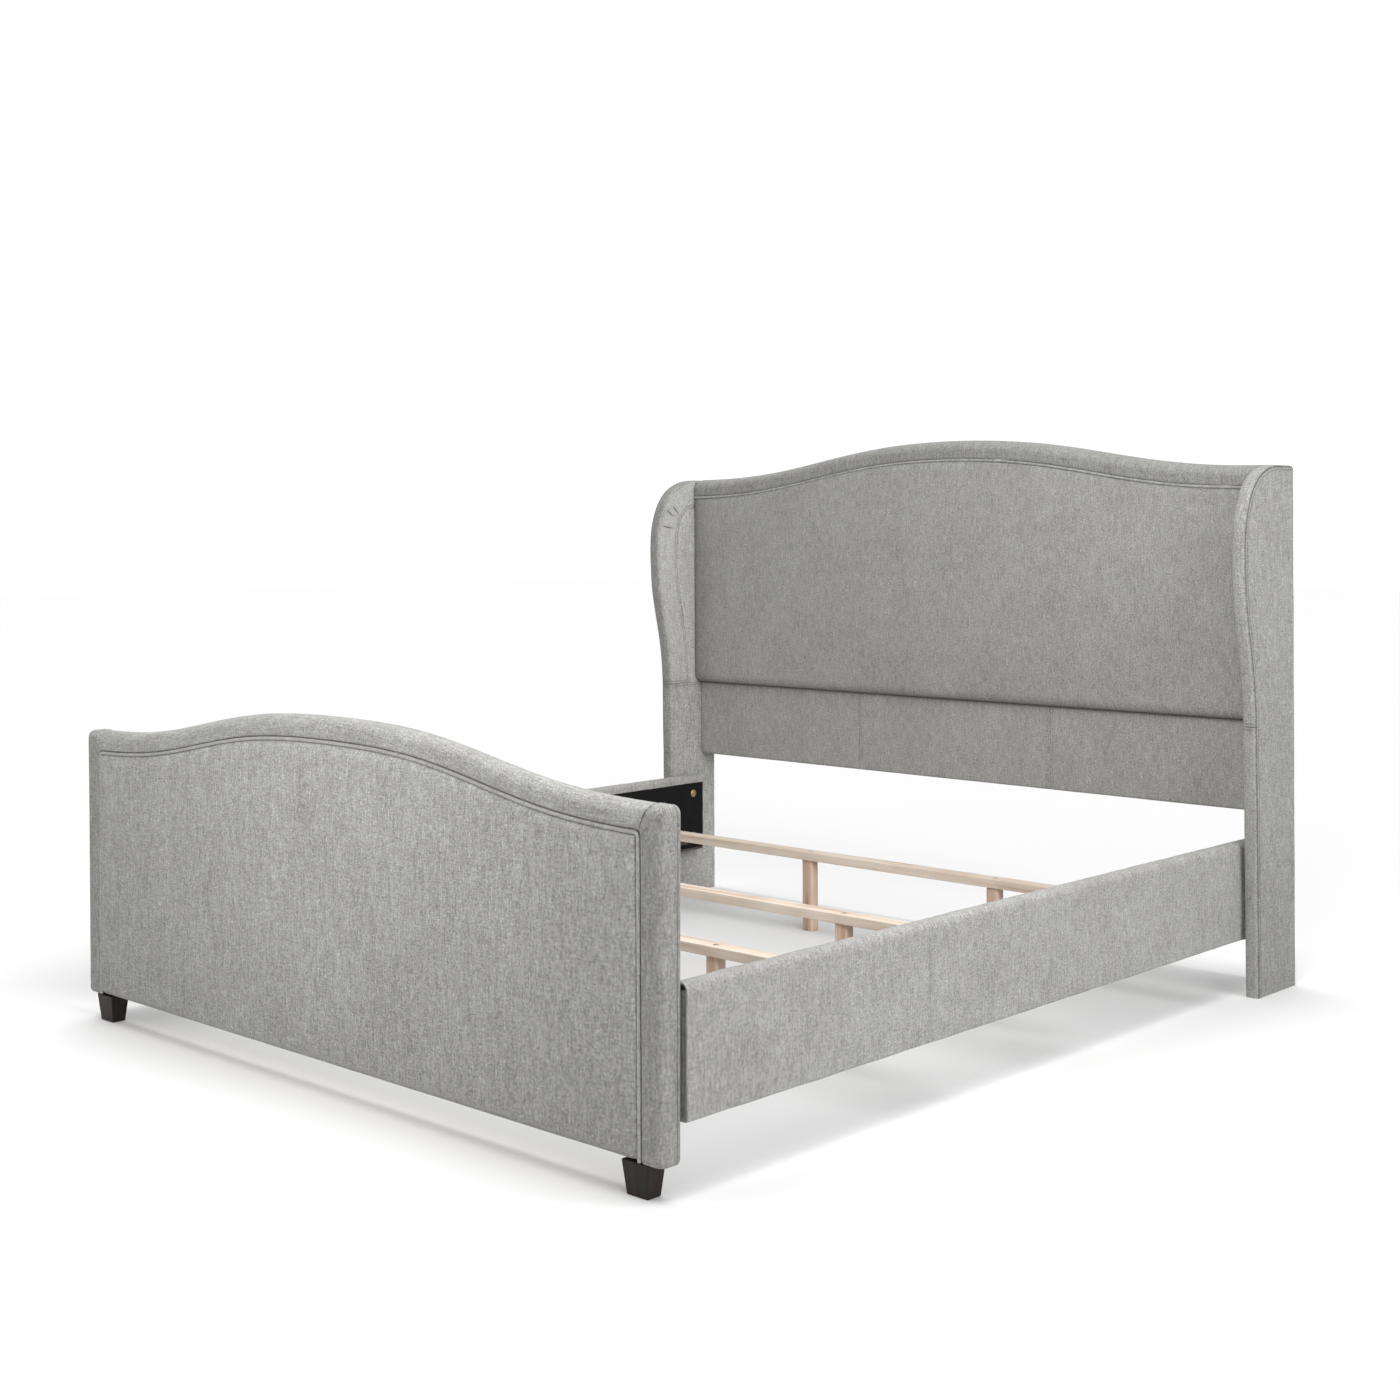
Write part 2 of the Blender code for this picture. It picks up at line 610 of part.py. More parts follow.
def build_rail(label, side):
    cover = build_rail_cover(label, side)

    board_length = (RAIL_START_Y + RAIL_END_CAP + GAP, RAIL_END_Y - 0.001)
    board_inner = RAIL_INNER_X + RAIL_BOARD_INSET
    board_outer = RAIL_OUTER_X - RAIL_SKIN - GAP
    board_height = (RAIL_BOTTOM_Z + 0.0055, RAIL_TOP_Z - 0.0130)
    board_mesh = sided_box(side, board_inner, board_outer, board_length, board_height)
    board = add_part(f"rail_board_{label}", board_mesh, "frame_wood")

    length = (RAIL_START_Y + GAP, RAIL_END_Y - 0.001)
    liner_outer = board_inner - GAP
    liner_height = (RAIL_BOTTOM_Z + 0.013, RAIL_TURN_DOWN_Z - GAP)
    liner_mesh = sided_box(side, liner_outer - LINER_THICKNESS, liner_outer, length, liner_height)
    liner = add_part(f"rail_liner_{label}", liner_mesh, "liner")

    ledger_outer = liner_outer - LINER_THICKNESS - GAP
    ledger_top = SLAT_BOTTOM_Z - GAP
    ledger_mesh = sided_box(side, LEDGER_INNER_X, ledger_outer,
                            (LEDGER_START_Y, LEDGER_END_Y), (ledger_top - LEDGER_HEIGHT, ledger_top))
    round_edges(add_part(f"rail_ledger_{label}", ledger_mesh, "pine"), TIMBER_EDGE)
    return {"cover": cover, "board": board, "liner": liner,
            "liner_face": liner_outer - LINER_THICKNESS}


# ---------------------------------------------------------------- fasteners
def bolt_profile(length):
    """A round-headed bolt; the head's underside is at height 0."""
    dome = [(0, BOLT_HEAD_HEIGHT), (0.6 * BOLT_HEAD_RADIUS, 0.85 * BOLT_HEAD_HEIGHT)]
    rim = [(BOLT_HEAD_RADIUS, 0.3 * BOLT_HEAD_HEIGHT), (BOLT_HEAD_RADIUS, 0)]
    return dome + rim + [(BOLT_RADIUS, 0), (BOLT_RADIUS, -length), (0, -length)]


def add_bolts(prefix, places, length, finish, targets):
    """Named bolts at their places, and the bores for them through every target."""
    for name, place in places.items():
        add_placed_part(f"{prefix}_{name}", turned_mesh(bolt_profile(length)), finish, place)
    above = [place @ Matrix.Translation((0, 0, GAP)) for place in places.values()]
    bores = rod_mesh(BORE_RADIUS, above, length + 2 * GAP)
    names = "_".join(places)
    cut(add_cutter(f"{prefix}_{names}_bores", bores), *targets)


def add_rail_bolts(label, side, rail, wing_panel, wing_frame):
    """Bolts from inside the rail, through it and into the wing's frame."""
    face = side * (rail["liner_face"] - GAP)
    places = {
        f"{label}_{level}": pointing((-side, 0, 0), (face, RAIL_BOLT_Y, z))
        for level, z in zip(("lower", "upper"), RAIL_BOLT_Z)
    }
    targets = (rail["cover"], rail["board"], rail["liner"], wing_panel, wing_frame)
    add_bolts("rail_bolt", places, 0.065, "brass", targets)


def add_corner_bracket(label, side, rail, footboard):
    """A steel angle in the corner of rail and footboard, with a bolt in each leg."""
    thickness, leg, height = 0.003, 0.050, 0.278
    face_x = rail["liner_face"] - GAP
    face_y = RAIL_START_Y
    far_x, far_y = face_x - leg, face_y + leg
    outline = [
        (face_x, face_y), (far_x, face_y), (far_x, face_y + thickness),
        (face_x - thickness, face_y + thickness), (face_x - thickness, far_y), (face_x, far_y),
    ]
    outline = [(side * x, y) for x, y in outline]
    bracket_mesh = plate_mesh([outline], XY_PLANE, height - 0.035, height + 0.035)
    bracket = add_part(f"corner_bracket_{label}", bracket_mesh, "zinc_steel")

    rail_face = side * (face_x - thickness - GAP)
    on_rail = {f"{label}_rail": pointing((-side, 0, 0), (rail_face, face_y + 0.032, height))}
    add_bolts("corner_bolt", on_rail, 0.030, "brass", (bracket, rail["liner"], rail["board"]))
    foot_place = (side * (face_x - 0.032), face_y + thickness + GAP, height)
    on_foot = {f"{label}_foot": pointing((0, 1, 0), foot_place)}
    add_bolts("corner_bolt", on_foot, 0.034, "brass", (bracket, *footboard))


def add_headboard_bolts(label, side, head_frame, wing_panel, wing_frame):
    """Bolts from the headboard frame's side windows out into the wing."""
    places = {
        f"{label}_{level}": pointing((-side, 0, 0), (side * (HEAD_WINDOW_X - GAP), HEAD_BOLT_Y, z))
        for level, z in zip(("lower", "upper"), HEAD_BOLT_Z)
    }
    add_bolts("headboard_bolt", places, 0.115, "zinc_steel", (head_frame, wing_panel, wing_frame))


# ---------------------------------------------------------------- slats
def screw_profile():
    """A countersunk screw; the top of its head is at height 0."""
    head = [(0, 0), (SCREW_HEAD_RADIUS, 0), (SCREW_RADIUS, -0.003)]
    return head + [(SCREW_RADIUS, -SCREW_LENGTH), (0, -SCREW_LENGTH)]


def screw_hole_profile():
    """The hole for such a screw, with a little room all round and above the head."""
    room = SCREW_HEAD_RADIUS + 0.0004
    mouth = [(0, 0.001), (room, 0.001), (room, 0), (SCREW_BORE_RADIUS, -0.0034)]
    return mouth + [(SCREW_BORE_RADIUS, -SCREW_LENGTH - GAP), (0, -SCREW_LENGTH - GAP)]


def build_slats():
    """Cross slats, each on two legs, with a screw down through the slat into each leg."""
    top_z = SLAT_BOTTOM_Z + SLAT_THICKNESS
    for label, centre_y in SLAT_CENTRE_Y.items():
        low = (-SLAT_HALF_LENGTH, centre_y - SLAT_WIDTH / 2, SLAT_BOTTOM_Z)
        high = (SLAT_HALF_LENGTH, centre_y + SLAT_WIDTH / 2, top_z)
        slat = add_part(f"slat_{label}", box_mesh(low, high), "pine")
        round_edges(slat, TIMBER_EDGE)
        for side_label, side in SIDES:
            name = f"{label}_{side_label}"
            leg_x = side * LEG_X[label]
            outline = rounded_rectangle(leg_x, centre_y, LEG_SIZE_X, LEG_SIZE_Y, LEG_EDGE_RADIUS)
            leg_mesh = plate_mesh([outline], XY_PLANE, 0.0, SLAT_BOTTOM_Z - GAP)
            leg = add_part(f"slat_leg_{name}", leg_mesh, "pine")
            round_edges(leg, TIMBER_EDGE, 1, 60.0)
            place = Matrix.Translation((leg_x, centre_y, top_z - 0.0005))
            screw_mesh = turned_mesh(screw_profile())
            add_placed_part(f"slat_leg_screw_{name}", screw_mesh, "zinc_steel", place)
            hole = repeated_mesh(turned_mesh(screw_hole_profile()), [place])
            cut(add_cutter(f"screw_hole_{name}", hole), slat, leg)


def rounded_rectangle(x, y, size_x, size_y, radius):
    dx, dy = size_x / 2 - radius, size_y / 2 - radius
    points = []
    for corner_x, corner_y, start in ((1, 1, 0), (-1, 1, 90), (-1, -1, 180), (1, -1, 270)):
        points += arc((x + corner_x * dx, y + corner_y * dy), radius, start, start + 90, 3)
    return points


# ---------------------------------------------------------------- the bed
def build_bed():
    footboard = build_footboard()
    head_frame = build_headboard()
    build_slats()
    for label, side in SIDES:
        wing_panel, wing_frame = build_wing(label, side)
        rail = build_rail(label, side)
        add_rail_bolts(label, side, rail, wing_panel, wing_frame)
        add_corner_bracket(label, side, rail, footboard)
        add_headboard_bolts(label, side, head_frame, wing_panel, wing_frame)


clear_scene()
PARTS = new_collection("upholstered_wing_bed")
CUTTERS = new_collection("cutters")
build_bed()
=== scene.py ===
"""Looks of the upholstered wing bed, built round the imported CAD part.

Units are metres. X runs across the bed, +Y from the footboard to the headboard, +Z up.
Every soft piece is a closed mesh made here: its crown, seams, tucks and stitch lines are
real relief, and the weave is a procedural material on top.
"""

import json
import math

import bmesh
import bpy
import numpy as np
from mathutils import Matrix, Vector

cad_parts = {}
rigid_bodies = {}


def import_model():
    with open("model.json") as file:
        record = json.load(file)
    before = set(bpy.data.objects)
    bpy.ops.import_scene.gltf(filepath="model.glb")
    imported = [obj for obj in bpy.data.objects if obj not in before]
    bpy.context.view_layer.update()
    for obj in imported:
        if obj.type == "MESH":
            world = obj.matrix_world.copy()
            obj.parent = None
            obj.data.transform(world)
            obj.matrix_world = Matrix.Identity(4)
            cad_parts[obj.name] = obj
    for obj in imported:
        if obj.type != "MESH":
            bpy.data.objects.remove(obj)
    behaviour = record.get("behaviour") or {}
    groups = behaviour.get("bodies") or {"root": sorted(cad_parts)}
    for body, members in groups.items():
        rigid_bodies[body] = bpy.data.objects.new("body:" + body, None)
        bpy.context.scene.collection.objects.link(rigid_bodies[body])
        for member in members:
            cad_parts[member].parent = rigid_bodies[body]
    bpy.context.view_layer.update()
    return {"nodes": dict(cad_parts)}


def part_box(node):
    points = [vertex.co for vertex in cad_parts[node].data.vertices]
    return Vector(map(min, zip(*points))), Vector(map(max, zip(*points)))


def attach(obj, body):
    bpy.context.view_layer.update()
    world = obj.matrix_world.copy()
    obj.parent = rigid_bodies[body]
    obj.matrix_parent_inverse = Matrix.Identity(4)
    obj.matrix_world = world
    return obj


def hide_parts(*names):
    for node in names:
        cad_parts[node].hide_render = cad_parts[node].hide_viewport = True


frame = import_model()

SIDES = (("left", -1.0), ("right", 1.0))
MM = 0.001

# ---------------------------------------------------------------- sizes
# Faces and edges are read from the CAD; curves and widths repeat its driving dimensions.
border_low, border_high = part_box("footboard_border")
FOOT_FRONT = border_low.y
FOOT_PAD_BACK = FOOT_FRONT + 0.0093     # the padding's hidden side
FOOT_BACK = border_high.y
FOOT_HALF = border_high.x
FOOT_BOTTOM = border_low.z
FOOT_RISE = 0.092
FOOT_SHOULDER = border_high.z - FOOT_RISE
FOOT_SPAN = 1.000
FOOT_SWEEP = 1.2
FOOT_LEAN = 0.004
FOOT_SIDE = 0.059            # the footboard border's width up its sides ...
FOOT_OVER = 0.047            # ... and over the top
BORDER = 0.054               # the headboard border's width
WELT_SLOT = 0.0086
WELT_RADIUS = 0.004
WELT_CORNER = 0.009
MITRE = 0.038                # the border's mitre reaches its top edge this far from the corner
SKIN = 0.022                 # border fabric and foam outside the frame's edge

head_low, head_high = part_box("headboard_border")
HEAD_HALF = head_high.x
HEAD_FRONT = head_low.y
HEAD_BACK = head_high.y
HEAD_RISE = 0.094
HEAD_SHOULDER = head_high.z - HEAD_RISE
HEAD_SPAN = 1.000
HEAD_SWEEP = 0.6
lower_low, lower_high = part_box("headboard_lower_panel")
HEAD_BOTTOM = lower_low.z
HEAD_SEAM = lower_high.z
LOWER_FACE = lower_low.y
pad_low, pad_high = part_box("headboard_upper_pad")
PAD_FACE = pad_low.y
PAD_BACK = pad_high.y

wing_low, wing_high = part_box("wing_inner_panel_right")
WING_INNER = wing_low.x
WING_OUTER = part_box("wing_outer_panel_right")[1].x
WING_SKIN = wing_high.x - wing_low.x
WING_BACK = wing_high.y

cover_low, cover_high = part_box("rail_cover_right")
RAIL_INNER, RAIL_OUTER = cover_low.x, cover_low.x + 0.040
RAIL_PACKED = cover_high.x - 0.0005    # the cover is padded out to here between the wings
RAIL_BOTTOM, RAIL_TOP = cover_low.z, cover_high.z
RAIL_START, RAIL_END = cover_low.y, cover_high.y
RAIL_TURN_DOWN = 0.359


# ---------------------------------------------------------------- small maths
def spaced(start, end, step, fine=()):
    """Places from start to end about step apart, closer round each (place, reach, small step)."""
    places = [start]
    while places[-1] < end:
        here = places[-1]
        size = step
        for place, reach, small in fine:
            away = min(abs(here + 0.5 * small - place) / reach, 1.0)
            size = min(size, small + (step - small) * away * away)
        places.append(here + size)
    places = np.array(places)
    return start + (places - start) * (end - start) / (places[-1] - start)


def side_to_side(half, step, reach, small, fine=()):
    """Places from -half to half, closer near both ends and wherever fine says."""
    return spaced(-half, half, step, ((-half, reach, small), (half, reach, small), *fine))


def ripple(a, b, length, seed):
    """Smooth, repeatable unevenness of about -1 to 1, from crossed waves near one length."""
    rng = np.random.default_rng(seed)
    total = 0.0
    for _ in range(7):
        angle = rng.uniform(0, math.pi)
        wave = length * rng.uniform(0.55, 1.7)
        phase = rng.uniform(0, 2 * math.pi)
        total = total + np.sin(2 * math.pi * (a * math.cos(angle) + b * math.sin(angle)) / wave + phase)
    return total / 3.0


def round_over(distance, reach):
    """0 at a seam, rising steeply and levelling out to 1 at reach, as padding does."""
    share = np.clip(distance / reach, 0.0, 1.0)
    return np.sqrt(np.clip(1.0 - (1.0 - share) ** 2, 0.0, 1.0))


def falling_away(past, radius):
    """How far a round edge has fallen at a distance past the start of its rounding."""
    share = np.clip(past / radius, 0.0, 1.0)
    return radius * (1 - np.sqrt(1 - share ** 2))


def arc(centre, radius, start, end, count):
    """Points round a centre from one angle to another, in degrees. An oval has two radii."""
    across, up = radius if isinstance(radius, tuple) else (radius, radius)
    turns = np.radians(np.linspace(start, end, count))
    return [(centre[0] + across * math.cos(turn), centre[1] + up * math.sin(turn)) for turn in turns]


def run_along(line):
    """The distance along an open line to each of its points."""
    steps = np.linalg.norm(np.diff(line, axis=0), axis=1)
    return np.concatenate(((0.0,), np.cumsum(steps)))


def left_of(along):
    """Unit normals to the left of directions in two dimensions."""
    along = along / np.linalg.norm(along, axis=1)[:, None]
    return np.stack((-along[:, 1], along[:, 0]), axis=1)


def line_at(distance, width):
    """A narrow mark centred on a line: 1 on it, fading to 0 about two widths off."""
    return np.exp(-((distance / width) ** 2))


def flat_seam(distance):
    """Relief of a flat seam sewn down on both sides: a slit between two low ridges."""
    slit = -1.6 * MM * line_at(distance, 1.0 * MM)
    ridges = 1.0 * MM * line_at(np.abs(distance) - 3.4 * MM, 2.0 * MM)
    stitch_rows = -0.8 * MM * line_at(np.abs(distance) - 7.2 * MM, 1.1 * MM)
    return slit + ridges + stitch_rows


def camel_back(x, shoulder, rise, span, sweep):
    """Height of a camel-back edge; sweep makes its crest fuller and its shoulders hollower."""
    inside = np.clip(np.abs(x), 0.0, span)
    share = np.cos(math.pi * inside / (2 * span)) ** 2
    return shoulder + rise * (share + sweep * share * (1 - share) * (share - 0.5))


def foot_top(x):
    """Height of the footboard's top edge."""
    return camel_back(x, FOOT_SHOULDER, FOOT_RISE, FOOT_SPAN, FOOT_SWEEP)


def head_top(x):
    """Height of the headboard's top edge."""
    return camel_back(x, HEAD_SHOULDER, HEAD_RISE, HEAD_SPAN, HEAD_SWEEP)


def distance_to(line, points):
    """Distance from each point to an open line, both in two dimensions."""
    shape = points.shape[:-1]
    flat = points.reshape(-1, 2)
    start, along = line[:-1], np.diff(line, axis=0)
    length2 = np.maximum((along ** 2).sum(1), 1e-12)
    nearest = np.full(len(flat), 1e9)
    for first in range(0, len(flat), 4000):
        part = flat[first:first + 4000, None, :] - start[None]
        share = np.clip((part * along).sum(2) / length2, 0.0, 1.0)
        away = np.linalg.norm(part - share[..., None] * along, axis=2)
        nearest[first:first + 4000] = away.min(1)
    return nearest.reshape(shape)


# ---------------------------------------------------------------- meshes
def grid(along, low, high, shares):
    """Two coordinates of a grid: along each row, and from low to high up its columns."""
    return np.tile(along, (len(shares), 1)), low + shares[:, None] * (high - low)


def levelled(front, axis, value):
    """The same grid with one coordinate level, for the hidden side of a shell."""
    back = front.copy()
    back[..., axis] = value
    return back


def quads_of(index):
    """Faces between neighbours of a grid of vertex numbers."""
    corners = (index[:-1, :-1], index[:-1, 1:], index[1:, 1:], index[1:, :-1])
    return np.stack(corners, axis=-1).reshape(-1, 4)


def shell(front, back):
    """A closed solid between two grids of points that share their edges' order."""
    rows, cols = front.shape[:2]
    size = rows * cols
    index = np.arange(size).reshape(rows, cols)
    far = index + size
    edge = [index[0, :-1], index[:-1, -1], index[-1, :0:-1], index[:0:-1, 0]]
    loop = np.concatenate(edge)
    after = np.roll(loop, -1)
    rim = np.stack((after, loop, loop + size, after + size), axis=-1)
    quads = np.concatenate((quads_of(index), quads_of(far)[:, ::-1], rim))
    return np.concatenate((front.reshape(-1, 3), back.reshape(-1, 3))), quads.tolist()


def sweep(rings):
    """A closed solid through closed rings of points, with a flat face at each end."""
    count, size = rings.shape[:2]
    index = np.arange(count * size).reshape(count, size)
    closed = np.concatenate((index, index[:, :1]), axis=1)
    faces = quads_of(closed).tolist()
    faces += [index[0][::-1].tolist(), index[-1].tolist()]
    return rings.reshape(-1, 3), faces


# painted shade in seams and hollows, and painted highlight on ridges: how far the shade spreads, and both
# strengths
SEAM_SHADE_REACH = 2.2 * MM
SEAM_SHADE = 1.7
RIDGE_HIGHLIGHT = 0.35


def painted_cavity_shade(mesh):
    """Painted shade and highlight at each vertex: darker down in its seams and hollows, paler on its ridges.
    """
    count = len(mesh.vertices)
    place, normal = np.zeros(count * 3), np.zeros(count * 3)
    mesh.vertices.foreach_get("co", place)
    mesh.vertex_normals.foreach_get("vector", normal)
    place, normal = place.reshape(-1, 3), normal.reshape(-1, 3)
    edges = np.zeros(len(mesh.edges) * 2, np.int64)
    mesh.edges.foreach_get("vertices", edges)
    start, end = edges.reshape(-1, 2).T
    away = place[end] - place[start]
    length = np.maximum(np.linalg.norm(away, axis=1), 1e-7)
    away /= length[:, None]
    hollow, number = np.zeros(count), np.zeros(count)
    np.add.at(hollow, start, (normal[start] * away).sum(1))
    np.add.at(hollow, end, -(normal[end] * away).sum(1))
    np.add.at(number, start, 1.0)
    np.add.at(number, end, 1.0)
    hollow /= np.maximum(number, 1.0)
    dark, pale = np.clip(hollow, 0.0, 0.5), np.clip(-hollow, 0.0, 0.2)
    fade = np.exp(-length / SEAM_SHADE_REACH)
    for _ in range(6):
        spread = dark.copy()
        np.maximum.at(spread, start, dark[end] * fade)
        np.maximum.at(spread, end, dark[start] * fade)
        dark = spread
    return np.clip(1.0 - SEAM_SHADE * dark + RIDGE_HIGHLIGHT * pale, 0.25, 1.3)


def add_piece(name, built, cloth, material, replaces=(), painted_shading=None):
    """Makes the object. cloth is where each point lies on the flat cloth, in metres.

    The last argument scales the cloth's colour at each point with painted shade and light: dark in seams,
    gaps and creases, and some whole faces made lighter and others darker as light falls on them.
    """
    vertices, faces = built
    mesh = bpy.data.meshes.new(name)
    mesh.from_pydata(vertices.tolist(), [], faces)
    lay = np.zeros((len(vertices), 3), np.float32)
    cloth = np.asarray(cloth, float).reshape(-1, 2)
    copies = len(vertices) // len(cloth)
    lay[:, :2] = np.tile(cloth, (copies, 1))
    lay[:, 2] = 0.37 * (len(bpy.data.objects) % 17)
    mesh.attributes.new("cloth", "FLOAT_VECTOR", "POINT").data.foreach_set("vector", lay.ravel())
    shape = bmesh.new()
    shape.from_mesh(mesh)
    bmesh.ops.recalc_face_normals(shape, faces=shape.faces)
    shape.to_mesh(mesh)
    shape.free()
    # painted shade in hollows and painted highlight on ridges, times the painted light and shade passed in,
    # go to the 'shade' attribute
    shade = painted_cavity_shade(mesh)
    if painted_shading is not None:
        shade *= np.tile(np.asarray(painted_shading, float).ravel(), copies)
    mesh.attributes.new("shade", "FLOAT", "POINT").data.foreach_set("value", shade)
    mesh.shade_smooth()
    mesh.set_sharp_from_angle(angle=math.radians(50.0))
    mesh.materials.append(material)
    piece = bpy.data.objects.new(name, mesh)
    bpy.context.scene.collection.objects.link(piece)
    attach(piece, "root")
    if replaces:
        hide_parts(*replaces)
    return piece


def add_padded(name, built, cloth, replaces, painted_shading=None):
    """A padded piece in the bed's fabric."""
    piece = add_piece(name, built, cloth, FABRIC, replaces, painted_shading)


# ---------------------------------------------------------------- cloth simulation
CLOTH_FRAMES = 20


def blown_out(name, points):
    """How far a sheet pinned along its edge moves along Y when cloth simulation blows it out."""
    rows, cols = points.shape[:2]
    index = np.arange(rows * cols).reshape(rows, cols)
    mesh = bpy.data.meshes.new(f"{name}_sheet")
    mesh.from_pydata(points.reshape(-1, 3).tolist(), [], quads_of(index).tolist())
    sheet = bpy.data.objects.new(f"{name}_sheet", mesh)
    bpy.context.scene.collection.objects.link(sheet)
    pins = sheet.vertex_groups.new(name="sewn")
    sewn = np.ones((rows, cols), bool)
    sewn[1:-1, 1:-1] = False
    pins.add(index[sewn].tolist(), 1.0, "REPLACE")
    cloth = sheet.modifiers.new("cloth", "CLOTH")
    settings = cloth.settings
    settings.quality = 6
    settings.mass = 0.25
    settings.tension_stiffness = settings.compression_stiffness = 12.0
    settings.shear_stiffness = 6.0
    settings.bending_stiffness = 0.05
    settings.shrink_min = settings.shrink_max = -0.004
    settings.vertex_group_mass = "sewn"
    settings.use_pressure = True
    settings.uniform_pressure_force = 3.0
    settings.effector_weights.gravity = 0.0
    cloth.point_cache.frame_start, cloth.point_cache.frame_end = 1, CLOTH_FRAMES
    for number in range(1, CLOTH_FRAMES + 1):
        bpy.context.scene.frame_set(number)
    settled = sheet.evaluated_get(bpy.context.evaluated_depsgraph_get()).to_mesh()
    blown = np.zeros(rows * cols * 3)
    settled.vertices.foreach_get("co", blown)
    bpy.data.objects.remove(sheet, do_unlink=True)
    bpy.context.scene.frame_set(1)
    return np.abs(blown.reshape(rows, cols, 3)[..., 1])


def billow(name, x, z, cap):
    """How cloth that is cut a little too large billows over its foam, sewn down all round.

    A sheet over the same outline is simulated, pinned at its edge and blown out by the foam.
    The result is its offset at every (x, z) of the finer grid, from -cap to cap.
    """
    rows, cols = 46, 118
    xs = np.linspace(x[0, 0], x[0, -1], cols)
    shares = np.linspace(0.0, 1.0, rows)
    low, high = np.interp(xs, x[0], z[0]), np.interp(xs, x[0], z[-1])
    wide, height = grid(xs, low, high, shares)
    points = np.stack((wide, np.zeros((rows, cols)), height), axis=-1)
    start = ripple(wide[1:-1, 1:-1], height[1:-1, 1:-1], 0.11, len(name))
    points[1:-1, 1:-1, 1] = 0.4 * MM * start
    out = blown_out(name, points)
    out = out - out[1:-1, 1:-1].mean()
    out *= cap / max(np.abs(out[1:-1, 1:-1]).max(), 1e-6)
    by_column = np.stack([np.interp(x[0], xs, row) for row in out])
    places = (z[:, 0] - z[0, 0]) / (z[-1, 0] - z[0, 0])
    return np.stack([np.interp(places, shares, column) for column in by_column.T], axis=1)


# ---------------------------------------------------------------- materials
def linear(red, green, blue):
    """Scene-linear RGBA of an 8-bit colour."""
    def channel(value):
        value /= 255.0
        return value / 12.92 if value <= 0.04045 else ((value + 0.055) / 1.055) ** 2.4
    return (channel(red), channel(green), channel(blue), 1.0)


def grey(value):
    """RGBA of an even grey."""
    return (value, value, value, 1.0)


class Finish:
    """A material whose nodes are added and linked in few words."""

    def __init__(self, name, **constants):
        self.material = bpy.data.materials.new(name)
        self.material.use_nodes = True
        self.tree = self.material.node_tree
        self.shader = self.tree.nodes["Principled BSDF"]
        for socket, value in constants.items():
            self.shader.inputs[socket.replace("_", " ")].default_value = value

    def feed(self, socket, value):
        """Links a node's output to a socket, or sets its plain value."""
        if isinstance(value, bpy.types.NodeSocket):
            self.tree.links.new(value, socket)
        else:
            socket.default_value = value

    def add(self, kind, inputs, output=0, **settings):
        """A node with its inputs fed and its settings set; gives one of its outputs."""
        node = self.tree.nodes.new(kind)
        for key, value in settings.items():
            setattr(node, key, value)
        for key, value in inputs.items():
            self.feed(node.inputs[key], value)
        return node.outputs[output]

    def math(self, operation, first, second=0.0):
        return self.add("ShaderNodeMath", {0: first, 1: second}, operation=operation)

    def blend(self, parts):
        """0.5 plus each (value, weight), the value taken about its middle of 0.5."""
        total = 0.5
        for value, weight in parts:
            about = self.math("SUBTRACT", value, 0.5)
            weighted = self.math("MULTIPLY", about, weight)
            total = self.math("ADD", weighted, total)
        return total

    def stretched(self, vector, scale, **noise):
        """Noise with its own scale along each axis."""
        mapped = self.add("ShaderNodeMapping", {"Vector": vector, "Scale": scale})
        inputs = {"Vector": mapped, "Scale": 1.0, "Detail": 2.0, "Roughness": 0.5}
        inputs.update(noise)
        return self.add("ShaderNodeTexNoise", inputs)

    def ramp(self, value, stops):
        """The colour at a value, between (place, colour) stops."""
        node = self.tree.nodes.new("ShaderNodeValToRGB")
        self.feed(node.inputs[0], value)
        elements = node.color_ramp.elements
        elements[0].position, elements[0].color = stops[0]
        elements[1].position, elements[1].color = stops[-1]
        for position, colour in stops[1:-1]:
            elements.new(position).color = colour
        return node.outputs[0]

    def scaled(self, colour, factor):
        return self.add("ShaderNodeVectorMath", {0: colour, "Scale": factor}, operation="SCALE")

    def finish(self, colour, height, distance, strength=1.0, roughness=None):
        self.feed(self.shader.inputs["Base Color"], colour)
        bump = self.add("ShaderNodeBump", {"Height": height, "Distance": distance, "Strength": strength})
        self.feed(self.shader.inputs["Normal"], bump)
        if roughness is not None:
            self.feed(self.shader.inputs["Roughness"], roughness)
        return self.material


YARN_PITCH = 4.0 * MM


